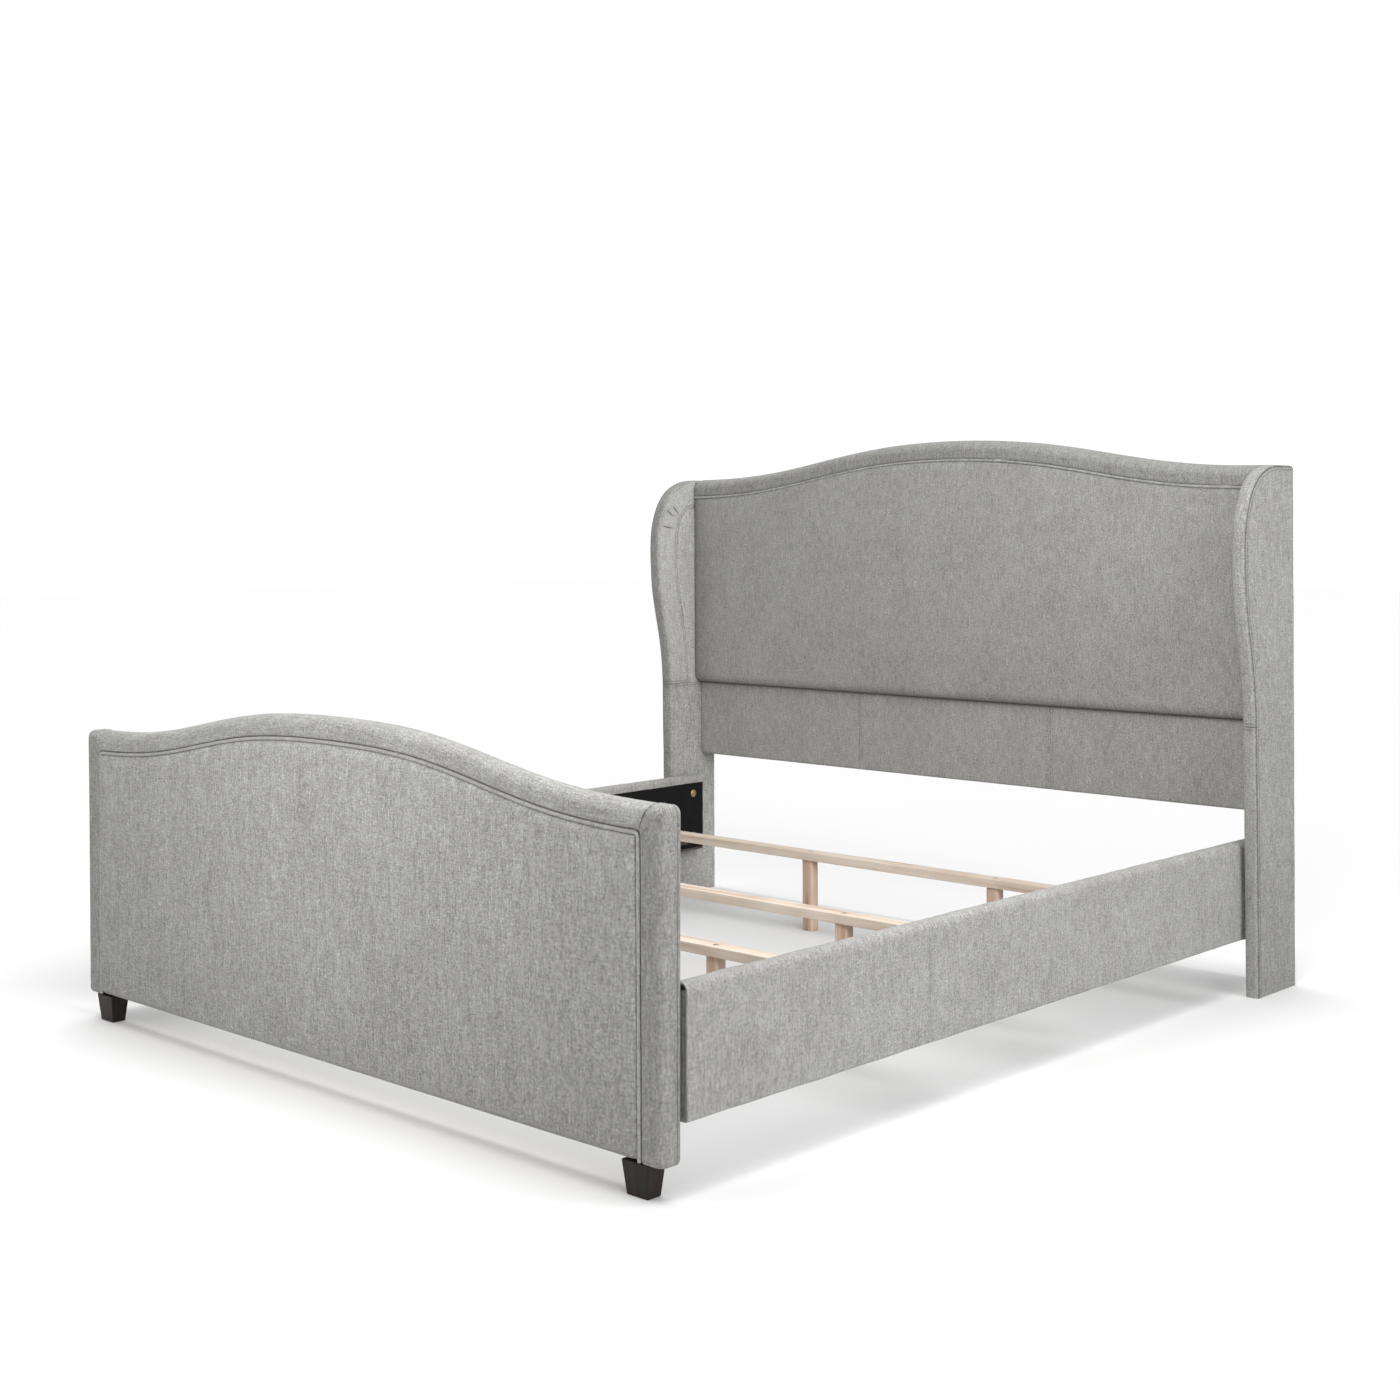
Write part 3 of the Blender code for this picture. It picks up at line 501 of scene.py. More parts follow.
def woven_fabric(name, lift=1.0):
    """Grey chenille: fine yarns and slubs both ways, flecks, and a nap that lies unevenly."""
    made = Finish(name, Roughness=0.92, Sheen_Weight=0.12, Sheen_Roughness=0.4, Specular_IOR_Level=0.15)
    lay = made.add("ShaderNodeAttribute", {}, 1, attribute_name="cloth")
    # the 'shade' attribute: painted shade and light for each vertex
    painted_shade_factor = made.add("ShaderNodeAttribute", {}, 2, attribute_name="shade")
    slub_up = made.stretched(lay, (420.0, 38.0, 1.0))
    slub_across = made.stretched(lay, (50.0, 480.0, 1.0))
    yarn_up = made.stretched(lay, (1100.0, 180.0, 1.0))
    yarn_across = made.stretched(lay, (180.0, 1100.0, 1.0))
    fleck = made.stretched(lay, (520.0, 520.0, 1.0), Detail=3.0, Roughness=0.6)
    streak = made.stretched(lay, (150.0, 14.0, 1.0), Detail=2.0)
    cloud = made.stretched(lay, (42.0, 26.0, 1.0), Detail=3.0)
    nap_tone_and_painted_light = made.stretched(lay, (9.0, 5.0, 1.0), Detail=2.0)
    across = made.add("ShaderNodeSeparateXYZ", {0: lay})
    up = across.node.outputs[1]
    yarn = 2 * math.pi / YARN_PITCH
    warp = made.math("SINE", made.math("MULTIPLY", across, yarn))
    weft = made.math("SINE", made.math("MULTIPLY", up, yarn))
    weave = made.math("ADD", made.math("MULTIPLY", made.math("MULTIPLY", warp, weft), 0.5), 0.5)
    tone = made.blend(((slub_up, 0.52), (slub_across, 0.34), (yarn_up, 1.05), (yarn_across, 0.92),
                       (fleck, 0.48), (streak, 0.20), (cloud, 0.16), (nap_tone_and_painted_light, 0.14), (weave, 0.30)))
    shades = [(0.14, (97, 95, 91)), (0.40, (133, 132, 129)), (0.60, (151, 151, 148)),
              (0.86, (185, 185, 183))]
    stops = [(place, tuple(lift * c for c in linear(*rgb)[:3]) + (1.0,)) for place, rgb in shades]
    # the weave's colour is scaled by that painted shade and light
    colour = made.scaled(made.ramp(tone, stops), painted_shade_factor)
    height = made.blend(((weave, 0.5), (slub_up, 0.8), (slub_across, 0.6), (yarn_up, 0.7), (fleck, 0.3)))
    return made.finish(colour, height, 0.7 * MM, 0.5)


def grain_wood(name, along, shades, ring=38.0, roughness=0.6, coat=0.0, bump=0.25, specular=0.5):
    """Planed timber with its grain running along one axis, 0 to 2 for X to Z."""
    made = Finish(name, Roughness=roughness, Coat_Weight=coat, Coat_Roughness=0.3,
                  Specular_IOR_Level=specular)
    place = made.add("ShaderNodeTexCoord", {}, 3)
    coarse = [ring] * 3
    coarse[along] = 1.6
    fine = [420.0] * 3
    fine[along] = 9.0
    knots = [14.0] * 3
    knots[along] = 3.2
    bands = made.stretched(place, coarse, Detail=4.0, Distortion=0.6)
    pores = made.stretched(place, fine, Detail=3.0, Roughness=0.6)
    mapped = made.add("ShaderNodeMapping", {"Vector": place, "Scale": knots})
    knot = made.add("ShaderNodeTexVoronoi", {"Vector": mapped, "Scale": 1.0, "Randomness": 1.0})
    dark_knot = made.math("SUBTRACT", 1.0, made.math("SMOOTH_MIN", made.math("MULTIPLY", knot, 7.0), 1.0))
    cloud = made.stretched(place, (7.0, 7.0, 7.0))
    tone = made.blend(((bands, 1.5), (pores, 0.5), (cloud, 0.6)))
    tone = made.math("SUBTRACT", tone, made.math("MULTIPLY", dark_knot, 0.22))
    colour = made.ramp(tone, [(step, linear(*rgb)) for step, rgb in shades])
    height = made.blend(((pores, 0.8), (bands, 0.6)))
    return made.finish(colour, height, 0.4 * MM, bump)


def worn_metal(name, base, dark, roughness):
    """Plated steel, finely speckled, with its roughness varying by the same specks."""
    made = Finish(name, Metallic=1.0)
    place = made.add("ShaderNodeTexCoord", {}, 3)
    speckle = made.stretched(place, (260.0,) * 3, Detail=4.0, Roughness=0.65)
    cloud = made.stretched(place, (40.0,) * 3)
    tone = made.blend(((speckle, 1.2), (cloud, 1.0)))
    colour = made.ramp(tone, [(0.25, linear(*dark)), (0.7, linear(*base))])
    rough = made.math("ADD", made.math("MULTIPLY", speckle, 0.25), roughness - 0.12)
    return made.finish(colour, speckle, 0.1 * MM, 0.3, rough)


def black_lining(name):
    """Thin black non-woven cloth: a fine felted surface with a faint criss-cross."""
    made = Finish(name, Roughness=0.85, Sheen_Weight=0.02, Sheen_Roughness=0.5, Specular_IOR_Level=0.1)
    lay = made.add("ShaderNodeAttribute", {}, 1, attribute_name="cloth")
    felt = made.stretched(lay, (700.0, 700.0, 1.0), Detail=3.0, Roughness=0.65)
    cloud = made.stretched(lay, (30.0, 30.0, 1.0))
    tone = made.blend(((felt, 1.0), (cloud, 0.5)))
    colour = made.ramp(tone, [(0.2, linear(10, 10, 10)), (0.8, linear(23, 22, 23))])
    return made.finish(colour, felt, 0.3 * MM, 0.5)


FABRIC = woven_fabric("grey_chenille", 0.93)
WELT_FABRIC = woven_fabric("grey_chenille_welt", 0.97)
LINING = black_lining("black_lining")
PINE_SHADES = [
    (0.10, (154, 129, 110)), (0.38, (188, 171, 154)), (0.62, (201, 187, 172)), (0.92, (215, 204, 192)),
]
# painted shade: pine darkened to near black, for the ledgers and rail boards that sit in shade inside the
# rails
SHADED_LEDGER_TONES = [(0.10, (36, 30, 26)), (0.50, (56, 48, 41)), (0.92, (78, 68, 58))]
LEG_SHADES = [
    (0.10, (142, 112, 92)), (0.38, (180, 154, 134)), (0.62, (196, 172, 152)), (0.92, (213, 194, 177)),
]
PLAIN_WOOD_SHADES = [(0.1, (150, 118, 84)), (0.5, (188, 156, 118)), (0.9, (208, 182, 148))]
ESPRESSO_SHADES = [(0.1, (15, 8, 7)), (0.5, (27, 17, 15)), (0.9, (44, 30, 27))]
PINE = grain_wood("pine_along_x", 0, PINE_SHADES)
LEG_WOOD = grain_wood("leg_pine_along_z", 2, LEG_SHADES)
SHADED_LEDGER_WOOD = grain_wood("shaded_ledger_along_y", 1, SHADED_LEDGER_TONES, roughness=0.7)
PLAIN_WOOD = [grain_wood(f"frame_wood_along_{axis}", number, PLAIN_WOOD_SHADES, roughness=0.7)
              for number, axis in enumerate("xyz")]
ESPRESSO = grain_wood("espresso_stain", 2, ESPRESSO_SHADES, 60.0, 0.5, 0.03, specular=0.25)
ZINC = worn_metal("zinc_plate", (188, 194, 204), (128, 134, 146), 0.34)
BRONZE = worn_metal("bronzed_steel", (172, 146, 104), (96, 76, 50), 0.36)


def finish_cad_nodes():
    """Node materials for the CAD pieces that stay in view."""
    by_prefix = (
        ("slat_leg_screw", ZINC), ("slat_leg", LEG_WOOD), ("slat", PINE), ("rail_ledger", SHADED_LEDGER_WOOD),
        # the ledgers and rail boards get the wood darkened with painted shade
        ("rail_board", SHADED_LEDGER_WOOD), ("footboard_frame", PLAIN_WOOD[0]), ("wing_frame", PLAIN_WOOD[2]),
        ("headboard_frame", PLAIN_WOOD[0]), ("corner_bracket", ZINC), ("corner_bolt", BRONZE),
        ("rail_bolt", BRONZE), ("headboard_bolt", ZINC), ("foot_bolt", ZINC), ("foot_", ESPRESSO),
    )
    for name, node in frame["nodes"].items():
        for prefix, material in by_prefix:
            if name.startswith(prefix):
                node.data.materials.clear()
                node.data.materials.append(material)
                break


# ---------------------------------------------------------------- footboard
def border_path():
    """Outer and inner points in (x, z), from the right foot over the arch to the left.

    The third result is how far along the edge each pair lies from the mitre in its corner.
    """
    outer_r = 0.014
    half_in = FOOT_HALF - FOOT_SIDE
    arch_in = half_in - WELT_CORNER
    centre_out = np.array((FOOT_HALF - outer_r, foot_top(FOOT_HALF) - outer_r))
    centre_in = np.array((arch_in, foot_top(arch_in) - FOOT_OVER - WELT_CORNER))
    outer, inner, from_mitre = [], [], []
    fine = ((FOOT_BOTTOM, 0.02, 0.0008), (centre_out[1], 0.05, 0.002))
    for z in spaced(FOOT_BOTTOM, centre_out[1], 0.008, fine):
        share = (z - FOOT_BOTTOM) / (centre_out[1] - FOOT_BOTTOM)
        drop = (centre_out[1] - centre_in[1]) * share ** 5
        outer.append((FOOT_HALF - FOOT_LEAN * (1 - share), z))
        inner.append((half_in, z - drop))
        from_mitre.append(1.0)
    quarter = outer_r * math.pi / 2
    to_mitre = quarter + MITRE - outer_r
    beyond = 0.030
    for run in spaced(0.0, to_mitre + beyond, 0.003, ((to_mitre, 0.012, 0.0005),))[1:]:
        angle = min(run, quarter) / outer_r
        x = centre_out[0] - max(run - quarter, 0.0)
        height = foot_top(x) if run > quarter else centre_out[1] + outer_r * math.sin(angle)
        outer.append((x + outer_r * math.cos(angle), height))
        turn = math.radians(45.0 * min(run / to_mitre, 1.0 + (run - to_mitre) / beyond))
        inner.append(tuple(centre_in + WELT_CORNER * np.array((math.cos(turn), math.sin(turn)))))
        from_mitre.append(abs(run - to_mitre))
    right, last = len(outer), outer[-1][0]
    for x in np.linspace(last, -last, 331)[1:-1]:
        x_in = x * arch_in / last
        outer.append((x, foot_top(x)))
        inner.append((x_in, foot_top(x_in) - FOOT_OVER))
        from_mitre.append(1.0)
    outer += [(-x, z) for x, z in reversed(outer[:right])]
    inner += [(-x, z) for x, z in reversed(inner[:right])]
    return np.array(outer), np.array(inner), np.array(from_mitre + from_mitre[right - 1::-1])


def border_profile(width, side, dip, uneven):
    """The border's section as (distance out from the welt, y), pulled in by dip.

    side is 1 where it runs up a side and 0 over the top, where it is rounder.
    """
    front = FOOT_FRONT - 1.5 * MM
    radius = 0.015 * side + 0.025 * (1 - side)
    back_radius = 0.008 * side + 0.016 * (1 - side)
    out = width - dip
    flat = out - radius
    points = []
    for share in (0.006, 0.02, 0.05, 0.10, 0.18, 0.28, 0.42, 0.60, 0.80, 0.95):
        u = share * flat
        rise = round_over(u, 0.008)
        points.append((u, front + dip + 8.0 * MM * (1 - rise) + uneven * math.sin(math.pi * share)))
    points += arc((flat, front + dip + radius), radius, -90, 0, 15)
    first, last = front + dip + radius + 0.001, FOOT_BACK - back_radius - 0.0002
    seam_y = last - 0.0030
    near = seam_y - 0.0025
    for y in np.concatenate((np.linspace(first, near, 4)[:-1], np.linspace(near, last, 13))):
        points.append((out - 1.6 * MM * side * line_at(y - seam_y, 1.0 * MM), y))
    points += arc((out - back_radius, FOOT_BACK - dip - back_radius), back_radius, 15, 90, 7)
    back_end = width - SKIN
    points += [(back_end + 0.004, FOOT_BACK - dip), (back_end + 0.002, FOOT_BACK - dip - 0.0004),
               (back_end + 0.001, FOOT_BACK - dip - 0.0018), (back_end + 0.0003, FOOT_BACK - 0.0048)]
    points += [(back_end + 0.0003, FOOT_PAD_BACK + 0.01), (back_end + 0.0003, FOOT_PAD_BACK),
               (back_end - 0.01, FOOT_PAD_BACK), (0.0002, FOOT_PAD_BACK)]
    return np.array(points)


def build_footboard_border():
    """The border over the top and down both sides, mitred at its two corners."""
    outer, inner, from_mitre = border_path()
    run = run_along((outer + inner) / 2)
    across = outer - inner
    width = np.linalg.norm(across, axis=1)
    lean = np.abs(across[:, 0]) / width
    mitre = line_at(from_mitre, 1.1 * MM) - 0.4 * line_at(from_mitre - 3.4 * MM, 2.0 * MM)
    rings, cloth, painted_shading = [], [], []
    for index, (start, way) in enumerate(zip(inner, across)):
        end = min(run[index], run[-1] - run[index])
        side = np.clip((lean[index] - 0.25) / 0.6, 0.0, 1.0)
        dip = 5.0 * MM * (1 - round_over(end, 0.012)) + 2.0 * MM * mitre[index]
        uneven = 0.6 * MM * ripple(run[index], 0.0, 0.055, 4)
        profile = border_profile(width[index], side, dip, uneven)
        places = start + way * profile[:, :1] / width[index]
        rings.append(np.stack((places[:, 0], profile[:, 1], places[:, 1]), axis=1))
        cloth.append(np.stack((run_along(profile), np.full(len(profile), run[index])), axis=1))
        # painted shade: darker in the gap beside the welt, along the mitre seam, and over the border's sides
        welt_gap_shade = 0.25 * np.exp(-profile[:, 0] / (3.0 * MM)) * (profile[:, 1] < FOOT_BACK - 0.05)
        painted_shading.append((1 - 0.20 * side) * (1 - 0.35 * max(mitre[index], 0.0)) * (1 - welt_gap_shade))
    add_padded("footboard_border_cloth", sweep(np.array(rings)), cloth, ("footboard_border",), painted_shading)


def welt_path():
    """Centre line of the footboard's welt in (x, z)."""
    half = FOOT_HALF - FOOT_SIDE - WELT_SLOT / 2
    arch = half - WELT_CORNER
    top = foot_top(arch) - FOOT_OVER - WELT_SLOT / 2
    right = [(half, z) for z in spaced(FOOT_BOTTOM + 0.002, top - WELT_CORNER, 0.01)]
    right += arc((arch, top - WELT_CORNER), WELT_CORNER, 10, 80, 8)
    over = [(x, foot_top(x) - FOOT_OVER - WELT_SLOT / 2) for x in np.linspace(arch, -arch, 200)]
    return np.array(right + over + [(-x, z) for x, z in reversed(right)])


def build_cord(name, path, y, replaces, seed):
    """Piping along a path in (x, z): a covered cord, a little uneven where it was sewn."""
    normal = left_of(np.gradient(path, axis=0))
    run = run_along(path)
    size = WELT_RADIUS * (1 + 0.05 * ripple(run, 0.0, 0.045, seed))
    turns = np.linspace(0, 2 * math.pi, 14, endpoint=False)
    rings = np.zeros((len(path), len(turns), 3))
    cloth = np.zeros((len(path), len(turns), 2))
    for number, turn in enumerate(turns):
        reach = size * math.cos(turn)
        rings[:, number, 0] = path[:, 0] + normal[:, 0] * reach
        rings[:, number, 2] = path[:, 1] + normal[:, 1] * reach
        rings[:, number, 1] = y - size * math.sin(turn)
        cloth[:, number, 0] = WELT_RADIUS * turn + 0.7 * run
        cloth[:, number, 1] = 0.7 * run - WELT_RADIUS * turn
    piece = add_piece(name, sweep(rings), cloth, WELT_FABRIC, replaces)


FOOT_PAD_LOW = FOOT_BOTTOM + 0.004
FOOT_PAD_ROLL = 0.014        # radius of the foam's lower edge


def foot_pad_crown(x, z, to_side, to_top):
    """How far the pad stands out: deep close to the welt, slowly fuller to the middle."""
    deep = np.minimum(round_over(to_side, 0.020), round_over(to_top, 0.024))
    to_welt = np.minimum(to_side, to_top)
    slow = 1 - np.exp(-to_welt / 0.09)
    low = np.exp(-((z - z[0, 0]) / 0.10) ** 2)
    crown = 8.5 * MM * deep + 4.5 * MM * slow * (1 - 0.45 * low)
    crown += 0.45 * MM * ripple(x, z, 0.30, 11) * slow
    pucker = np.exp(-to_welt / 0.014) * deep
    crown += 0.8 * MM * ripple(x, z, 0.045, 12) * pucker
    return crown + billow("footboard_front_pad", x, z, 1.5 * MM) * slow


def rolled_under(edge):
    """Rows of cloth from under the frame's foot up round the foam's lower edge, and their counts."""
    rolled = []
    for angle in np.radians(np.linspace(90, 12, 7)):
        row = edge.copy()
        row[:, 1] = edge[:, 1] + FOOT_PAD_ROLL * (1 - math.sin(angle))
        row[:, 2] = edge[:, 2] - FOOT_PAD_ROLL * math.cos(angle)
        rolled.append(row)
    under = []
    for share in (0.35, 0.7, 1.0):
        row = rolled[-1].copy()
        row[:, 1] += (FOOT_BACK - 0.007 - row[:, 1]) * share
        row[:, 2] = FOOT_PAD_LOW + 0.0002
        under.append(row)
    return np.array(under[::-1] + rolled[::-1]), len(under), len(rolled)


def build_footboard_pad():
    """The front panel: crowned foam that dives to the welt, and rolls under at the bottom."""
    half = FOOT_HALF - FOOT_SIDE - WELT_SLOT
    corner = 0.004
    inset = FOOT_OVER + WELT_SLOT
    xs = side_to_side(half, 0.014, 0.06, 0.0012)
    shares = spaced(0.0, 1.0, 0.018, ((1.0, 0.10, 0.002),))
    past_corner = falling_away(np.abs(xs) - (half - corner), corner)
    top = foot_top(np.minimum(np.abs(xs), half - corner)) - inset - past_corner
    bottom = FOOT_PAD_LOW + FOOT_PAD_ROLL
    x, z = grid(xs, bottom, top, shares)
    crown = foot_pad_crown(x, z, half - np.abs(x), top - z)
    front = np.stack((x, FOOT_FRONT + 2.2 * MM - crown, z), axis=-1)
    lower, under, rolled = rolled_under(front[0])
    front = np.concatenate((lower, front[1:]))
    back = front.copy()
    back[under:, :, 1] = FOOT_PAD_BACK
    back[under:under + rolled, :, 2] = bottom
    back[:under, :, 2] = FOOT_PAD_LOW + 0.0022
    back[:under, :, 1] = np.maximum(back[:under, :, 1], FOOT_PAD_BACK)
    cloth = np.stack((front[..., 0], front[..., 2] - front[..., 1] * (front[..., 2] < bottom)), axis=-1)
    # painted light and shade: the pad is made lighter towards its top and darker towards both sides
    height = np.clip((front[..., 2] - 0.37) / 0.30, -1.0, 1.0)
    painted_shading = 1 + 0.07 * height - 0.06 * (front[..., 0] / half) ** 2
    add_padded("footboard_front_pad_cloth", shell(front, back), cloth, ("footboard_front_pad",), painted_shading)


def back_cover(name, node, top, half, bottom, face, drop, seed):
    """A cloth panel stretched over a frame's back, its edges turned in."""
    low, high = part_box(node)
    half = min(half, high.x) - 0.0006
    xs = side_to_side(half, 0.03, 0.04, 0.0012)
    shares = spaced(0.0, 1.0, 0.04, ((0.0, 0.05, 0.002), (1.0, 0.05, 0.002)))
    tops = top(xs) - drop
    x, z = grid(xs, bottom, tops, shares)
    inward = np.minimum(np.minimum(half - np.abs(x), tops - z), z - bottom)
    relief = 2.4 * MM * round_over(inward, 0.006)
    relief += 0.5 * MM * ripple(x, z, 0.22, seed) * round_over(inward, 0.06)
    front = np.stack((x, face - 3.0 * MM + relief, z), axis=-1)
    built = shell(front, levelled(front, 1, low.y + 0.0002))
    piece = add_piece(name, built, front[..., [0, 2]], FABRIC, (node,))


# ---------------------------------------------------------------- headboard
def build_headboard_border():
    """Section along X: up from the welt, a wide round-over to the top, and down the back."""
    xs = side_to_side(HEAD_HALF, 0.008, 0.02, 0.001)
    top_y, top_z = 0.052, 0.030
    back_radius = 0.010
    face = HEAD_FRONT - 1.0 * MM
    rings, cloth = [], []
    for x in xs:
        end = HEAD_HALF - abs(x)
        dip = 2.5 * MM * (1 - round_over(end, 0.008))
        uneven = 0.45 * MM * ripple(x, 0.0, 0.06, 21)
        profile = []
        for u in (0.0002, 0.0006, 0.0015, 0.003, 0.005, 0.0075, 0.011, 0.016, 0.020):
            rise = round_over(u, 0.009)
            profile.append((face + dip + 4.5 * MM * (1 - rise) + uneven * rise, u))
        top = BORDER - dip
        back = HEAD_BACK - dip
        profile += arc((face + dip + top_y, top - top_z), (top_y, top_z), 180, 90, 17)
        profile.append((HEAD_BACK - back_radius - 0.012, top))
        profile += arc((back - back_radius, top - back_radius), back_radius, 90, 0, 8)
        profile += [(back, 0.03), (back, 0.012), (back, 0.004), (back - 0.0006, 0.0018),
                    (HEAD_BACK - 0.003, 0.0006), (HEAD_BACK - 0.006, 0.0002), (face + 0.02, 0.0002)]
        base = head_top(x) - BORDER
        rings.append([(x, y, base + u) for y, u in profile])
        cloth += [(x, length) for length in run_along(profile)]
    # painted shade: the whole border is darkened evenly
    painted_shading = np.full(len(cloth), 0.84)
    add_padded("headboard_border_cloth", sweep(np.array(rings)), cloth, ("headboard_border",), painted_shading)


def build_headboard_pad():
    """The upper panel: fullest in the middle, tucked in at the welt, the wings and below."""
    half = HEAD_HALF - 0.0002
    inset = BORDER + WELT_SLOT
    xs = side_to_side(half, 0.015, 0.08, 0.0015)
    shares = spaced(0.0, 1.0, 0.018, ((0.0, 0.10, 0.0015), (1.0, 0.10, 0.002)))
    tops = head_top(xs) - inset
    bottom = HEAD_SEAM + 0.002
    x, z = grid(xs, bottom, tops, shares)
    to_side = half - np.abs(x)
    to_top = tops - z
    to_bottom = z - bottom
    fullness = 1 - np.abs(x / half) ** 2.4
    belly = 1 - np.exp(-to_bottom / 0.10)
    y = PAD_FACE - 0.015 * fullness * belly * (1 - 0.5 * np.exp(-to_top / 0.12))
    y += 0.024 * (1 - round_over(to_bottom, 0.030))
    y += 0.006 * (1 - round_over(to_top, 0.020))
    y += 0.007 * (1 - round_over(to_side, 0.032))
    inner = np.minimum(np.minimum(to_side, to_top), to_bottom)
    y -= 0.6 * MM * ripple(x, z, 0.33, 31) * (1 - np.exp(-inner / 0.06))
    y -= 0.6 * MM * ripple(x, z, 0.07, 32) * np.exp(-inner / 0.02) * round_over(inner, 0.01)
    y -= billow("headboard_upper_pad", x, z, 1.5 * MM) * (1 - np.exp(-inner / 0.06))
    y = np.minimum(y, PAD_BACK - 0.006)
    front = np.stack((x, y, z), axis=-1)
    # painted shade: dark under the pad's lower edge and along its top and sides, and a wider painted shadow
    # of the wings near both ends
    painted_shading = 1 - 0.60 * np.exp(-to_bottom / 0.0035) - 0.30 * np.exp(-np.minimum(to_side, to_top) / 0.005)
    painted_shading -= 0.17 * line_at(to_side, 0.060)
    built = shell(front, levelled(front, 1, PAD_BACK))
    add_padded("headboard_upper_pad_cloth", built, front[..., [0, 2]], ("headboard_upper_pad",), painted_shading)


PANEL_SEAM_X = 0.345
PANEL_SKIN = 0.0092          # the lower panel's thickness
TURNED_UNDER = (0.045, 0.025, 0.0055)     # places on its hem, this far short of the frame's back


def build_lower_panel():
    """The flat panel below the pad, in three widths sewn together and turned under the frame."""
    half = HEAD_HALF - 0.0002
    seams = [(side * PANEL_SEAM_X, 0.02, 0.0005) for _, side in SIDES]
    xs = side_to_side(half, 0.02, 0.03, 0.0012, seams)
    roll = 0.007
    wrap = 0.0048
    profile = []
    for z in spaced(HEAD_BOTTOM + roll, HEAD_SEAM, 0.012, ((HEAD_SEAM, 0.02, 0.001),))[::-1]:
        profile.append((LOWER_FACE, z, 1.0))
    for angle in np.radians(np.linspace(12, 90, 7)):
        profile.append((LOWER_FACE + roll * (1 - math.cos(angle)), HEAD_BOTTOM + roll * (1 - math.sin(angle)),
                        math.cos(angle)))
    for short in TURNED_UNDER:
        profile.append((HEAD_BACK - short, HEAD_BOTTOM, 0.0))
    front = np.zeros((len(profile), len(xs), 3))
    back = np.zeros_like(front)
    cloth = np.zeros((len(profile), len(xs), 2))
    # painted light: the whole panel is made evenly brighter
    painted_shading = np.full((len(profile), len(xs)), 1.10)
    seam_mark = 0.5 * flat_seam(np.abs(xs) - PANEL_SEAM_X)
    inner_face = LOWER_FACE + PANEL_SKIN
    lengths = run_along([point[:2] for point in profile])
    for row, (y, z, facing) in enumerate(profile):
        soft = 0.5 * MM * ripple(xs, z, 0.25, 41) + seam_mark
        side = 2.0 * MM * (1 - round_over(half - np.abs(xs), 0.010))
        front[row, :, 0] = xs
        front[row, :, 1] = y - facing * (soft - side)
        front[row, :, 2] = z - (1 - facing) * 0.3 * soft
        back[row, :, 0] = xs
        back[row, :, 1] = max(inner_face, y) if facing < 0.5 else inner_face
        back[row, :, 2] = max(z, HEAD_BOTTOM + wrap)
        cloth[row, :, 0] = xs
        cloth[row, :, 1] = -lengths[row]
        # painted shade: a dark line at the seam under the pad's edge
        painted_shading[row] -= 0.50 * line_at(z - HEAD_SEAM, 3.5 * MM)
    built = shell(front, back)
    add_padded("headboard_lower_panel_cloth", built, cloth, ("headboard_lower_panel",), painted_shading)


# ---------------------------------------------------------------- wings
def bezier(start, start_handle, end_handle, end, steps):
    """Points on a cubic curve between two ends with their handles."""
    t = np.linspace(0, 1, steps + 1)[:, None]
    corners = [np.array(p) for p in (start, start_handle, end_handle, end)]
    weights = ((1 - t) ** 3, 3 * (1 - t) ** 2 * t, 3 * (1 - t) * t ** 2, t ** 3)
    return sum(w * p for w, p in zip(weights, corners))


WING_TOP = 1.330
WING_CROWN_Y = 1.045         # where the wing's front curve meets its flat top
WING_KNEE_Z = 0.677          # where the wing's upper and lower covers are sewn together
WRAP = 0.083                 # the band's cloth turns this far onto the inner face
INNER_PAINTED_LIGHT = 0.30             # painted light: the inner face is made paler by this share
LOWER_PAINTED_LIGHT = 0.12             # ... and the lower cover's inner face by this share, below the knee seam


def wing_seam():
    """The wing's sewn edge in (y, z): up the front, over the shoulder, round to the back."""
    floor, knee, belly, crown = (0.923, 0.0), (0.915, 0.660), (0.862, 1.105), (WING_CROWN_Y, WING_TOP)
    lower = bezier(knee, (knee[0], knee[1] + 0.20), (belly[0], belly[1] - 0.20), belly, 60)
    upper = bezier(belly, (belly[0], belly[1] + 0.145), (crown[0] - 0.125, crown[1]), crown, 80)
    straight = np.linspace(floor, knee, 60)[:-1]
    back, radius = HEAD_BACK - 0.004, 0.012
    corner = np.array(arc((back - radius, WING_TOP - radius), radius, 90, 0, 10))
    top = np.linspace(crown, corner[0], 12)[1:-1]
    line = np.concatenate((straight, lower, upper[1:], top, corner))
    return line, run_along(line)


SEAM, SEAM_RUN = wing_seam()


def on_seam(places):
    """Points on the wing's seam and its outward normals, at distances along it."""
    def at(run):
        return np.stack([np.interp(run, SEAM_RUN, SEAM[:, i]) for i in (0, 1)], axis=1)
    near = 0.004
    return at(places), left_of(at(places + near) - at(places - near))


def run_at_height(z):
    """How far along the seam its front part reaches a height."""
    front = SEAM[:, 0] < WING_CROWN_Y - 0.005
    return float(np.interp(z, SEAM[front, 1], SEAM_RUN[front]))


# height on the seam, where it begins and ends inward of the seam, how far it slants
TUCKS = ((1.188, 0.012, 0.056, -0.05), (1.243, 0.014, 0.050, 0.20), (1.268, 0.030, 0.068, 0.25))


def wrap_section():
    """Round the band's front: places across the wing, and how far each stands out, 0 to 1."""
    thick = WING_OUTER - WING_INNER
    inner_round = 0.015
    section = []
    for share in (0.0, 0.012, 0.035, 0.07, 0.12, 0.20, 0.30, 0.42, 0.54):
        section.append((WING_OUTER - share * thick, round_over(share, 0.30)))
    for angle in np.radians(np.linspace(10, 90, 9)):
        section.append((WING_INNER + inner_round * (1 - math.sin(angle)), math.cos(angle) ** 0.8))
    return section


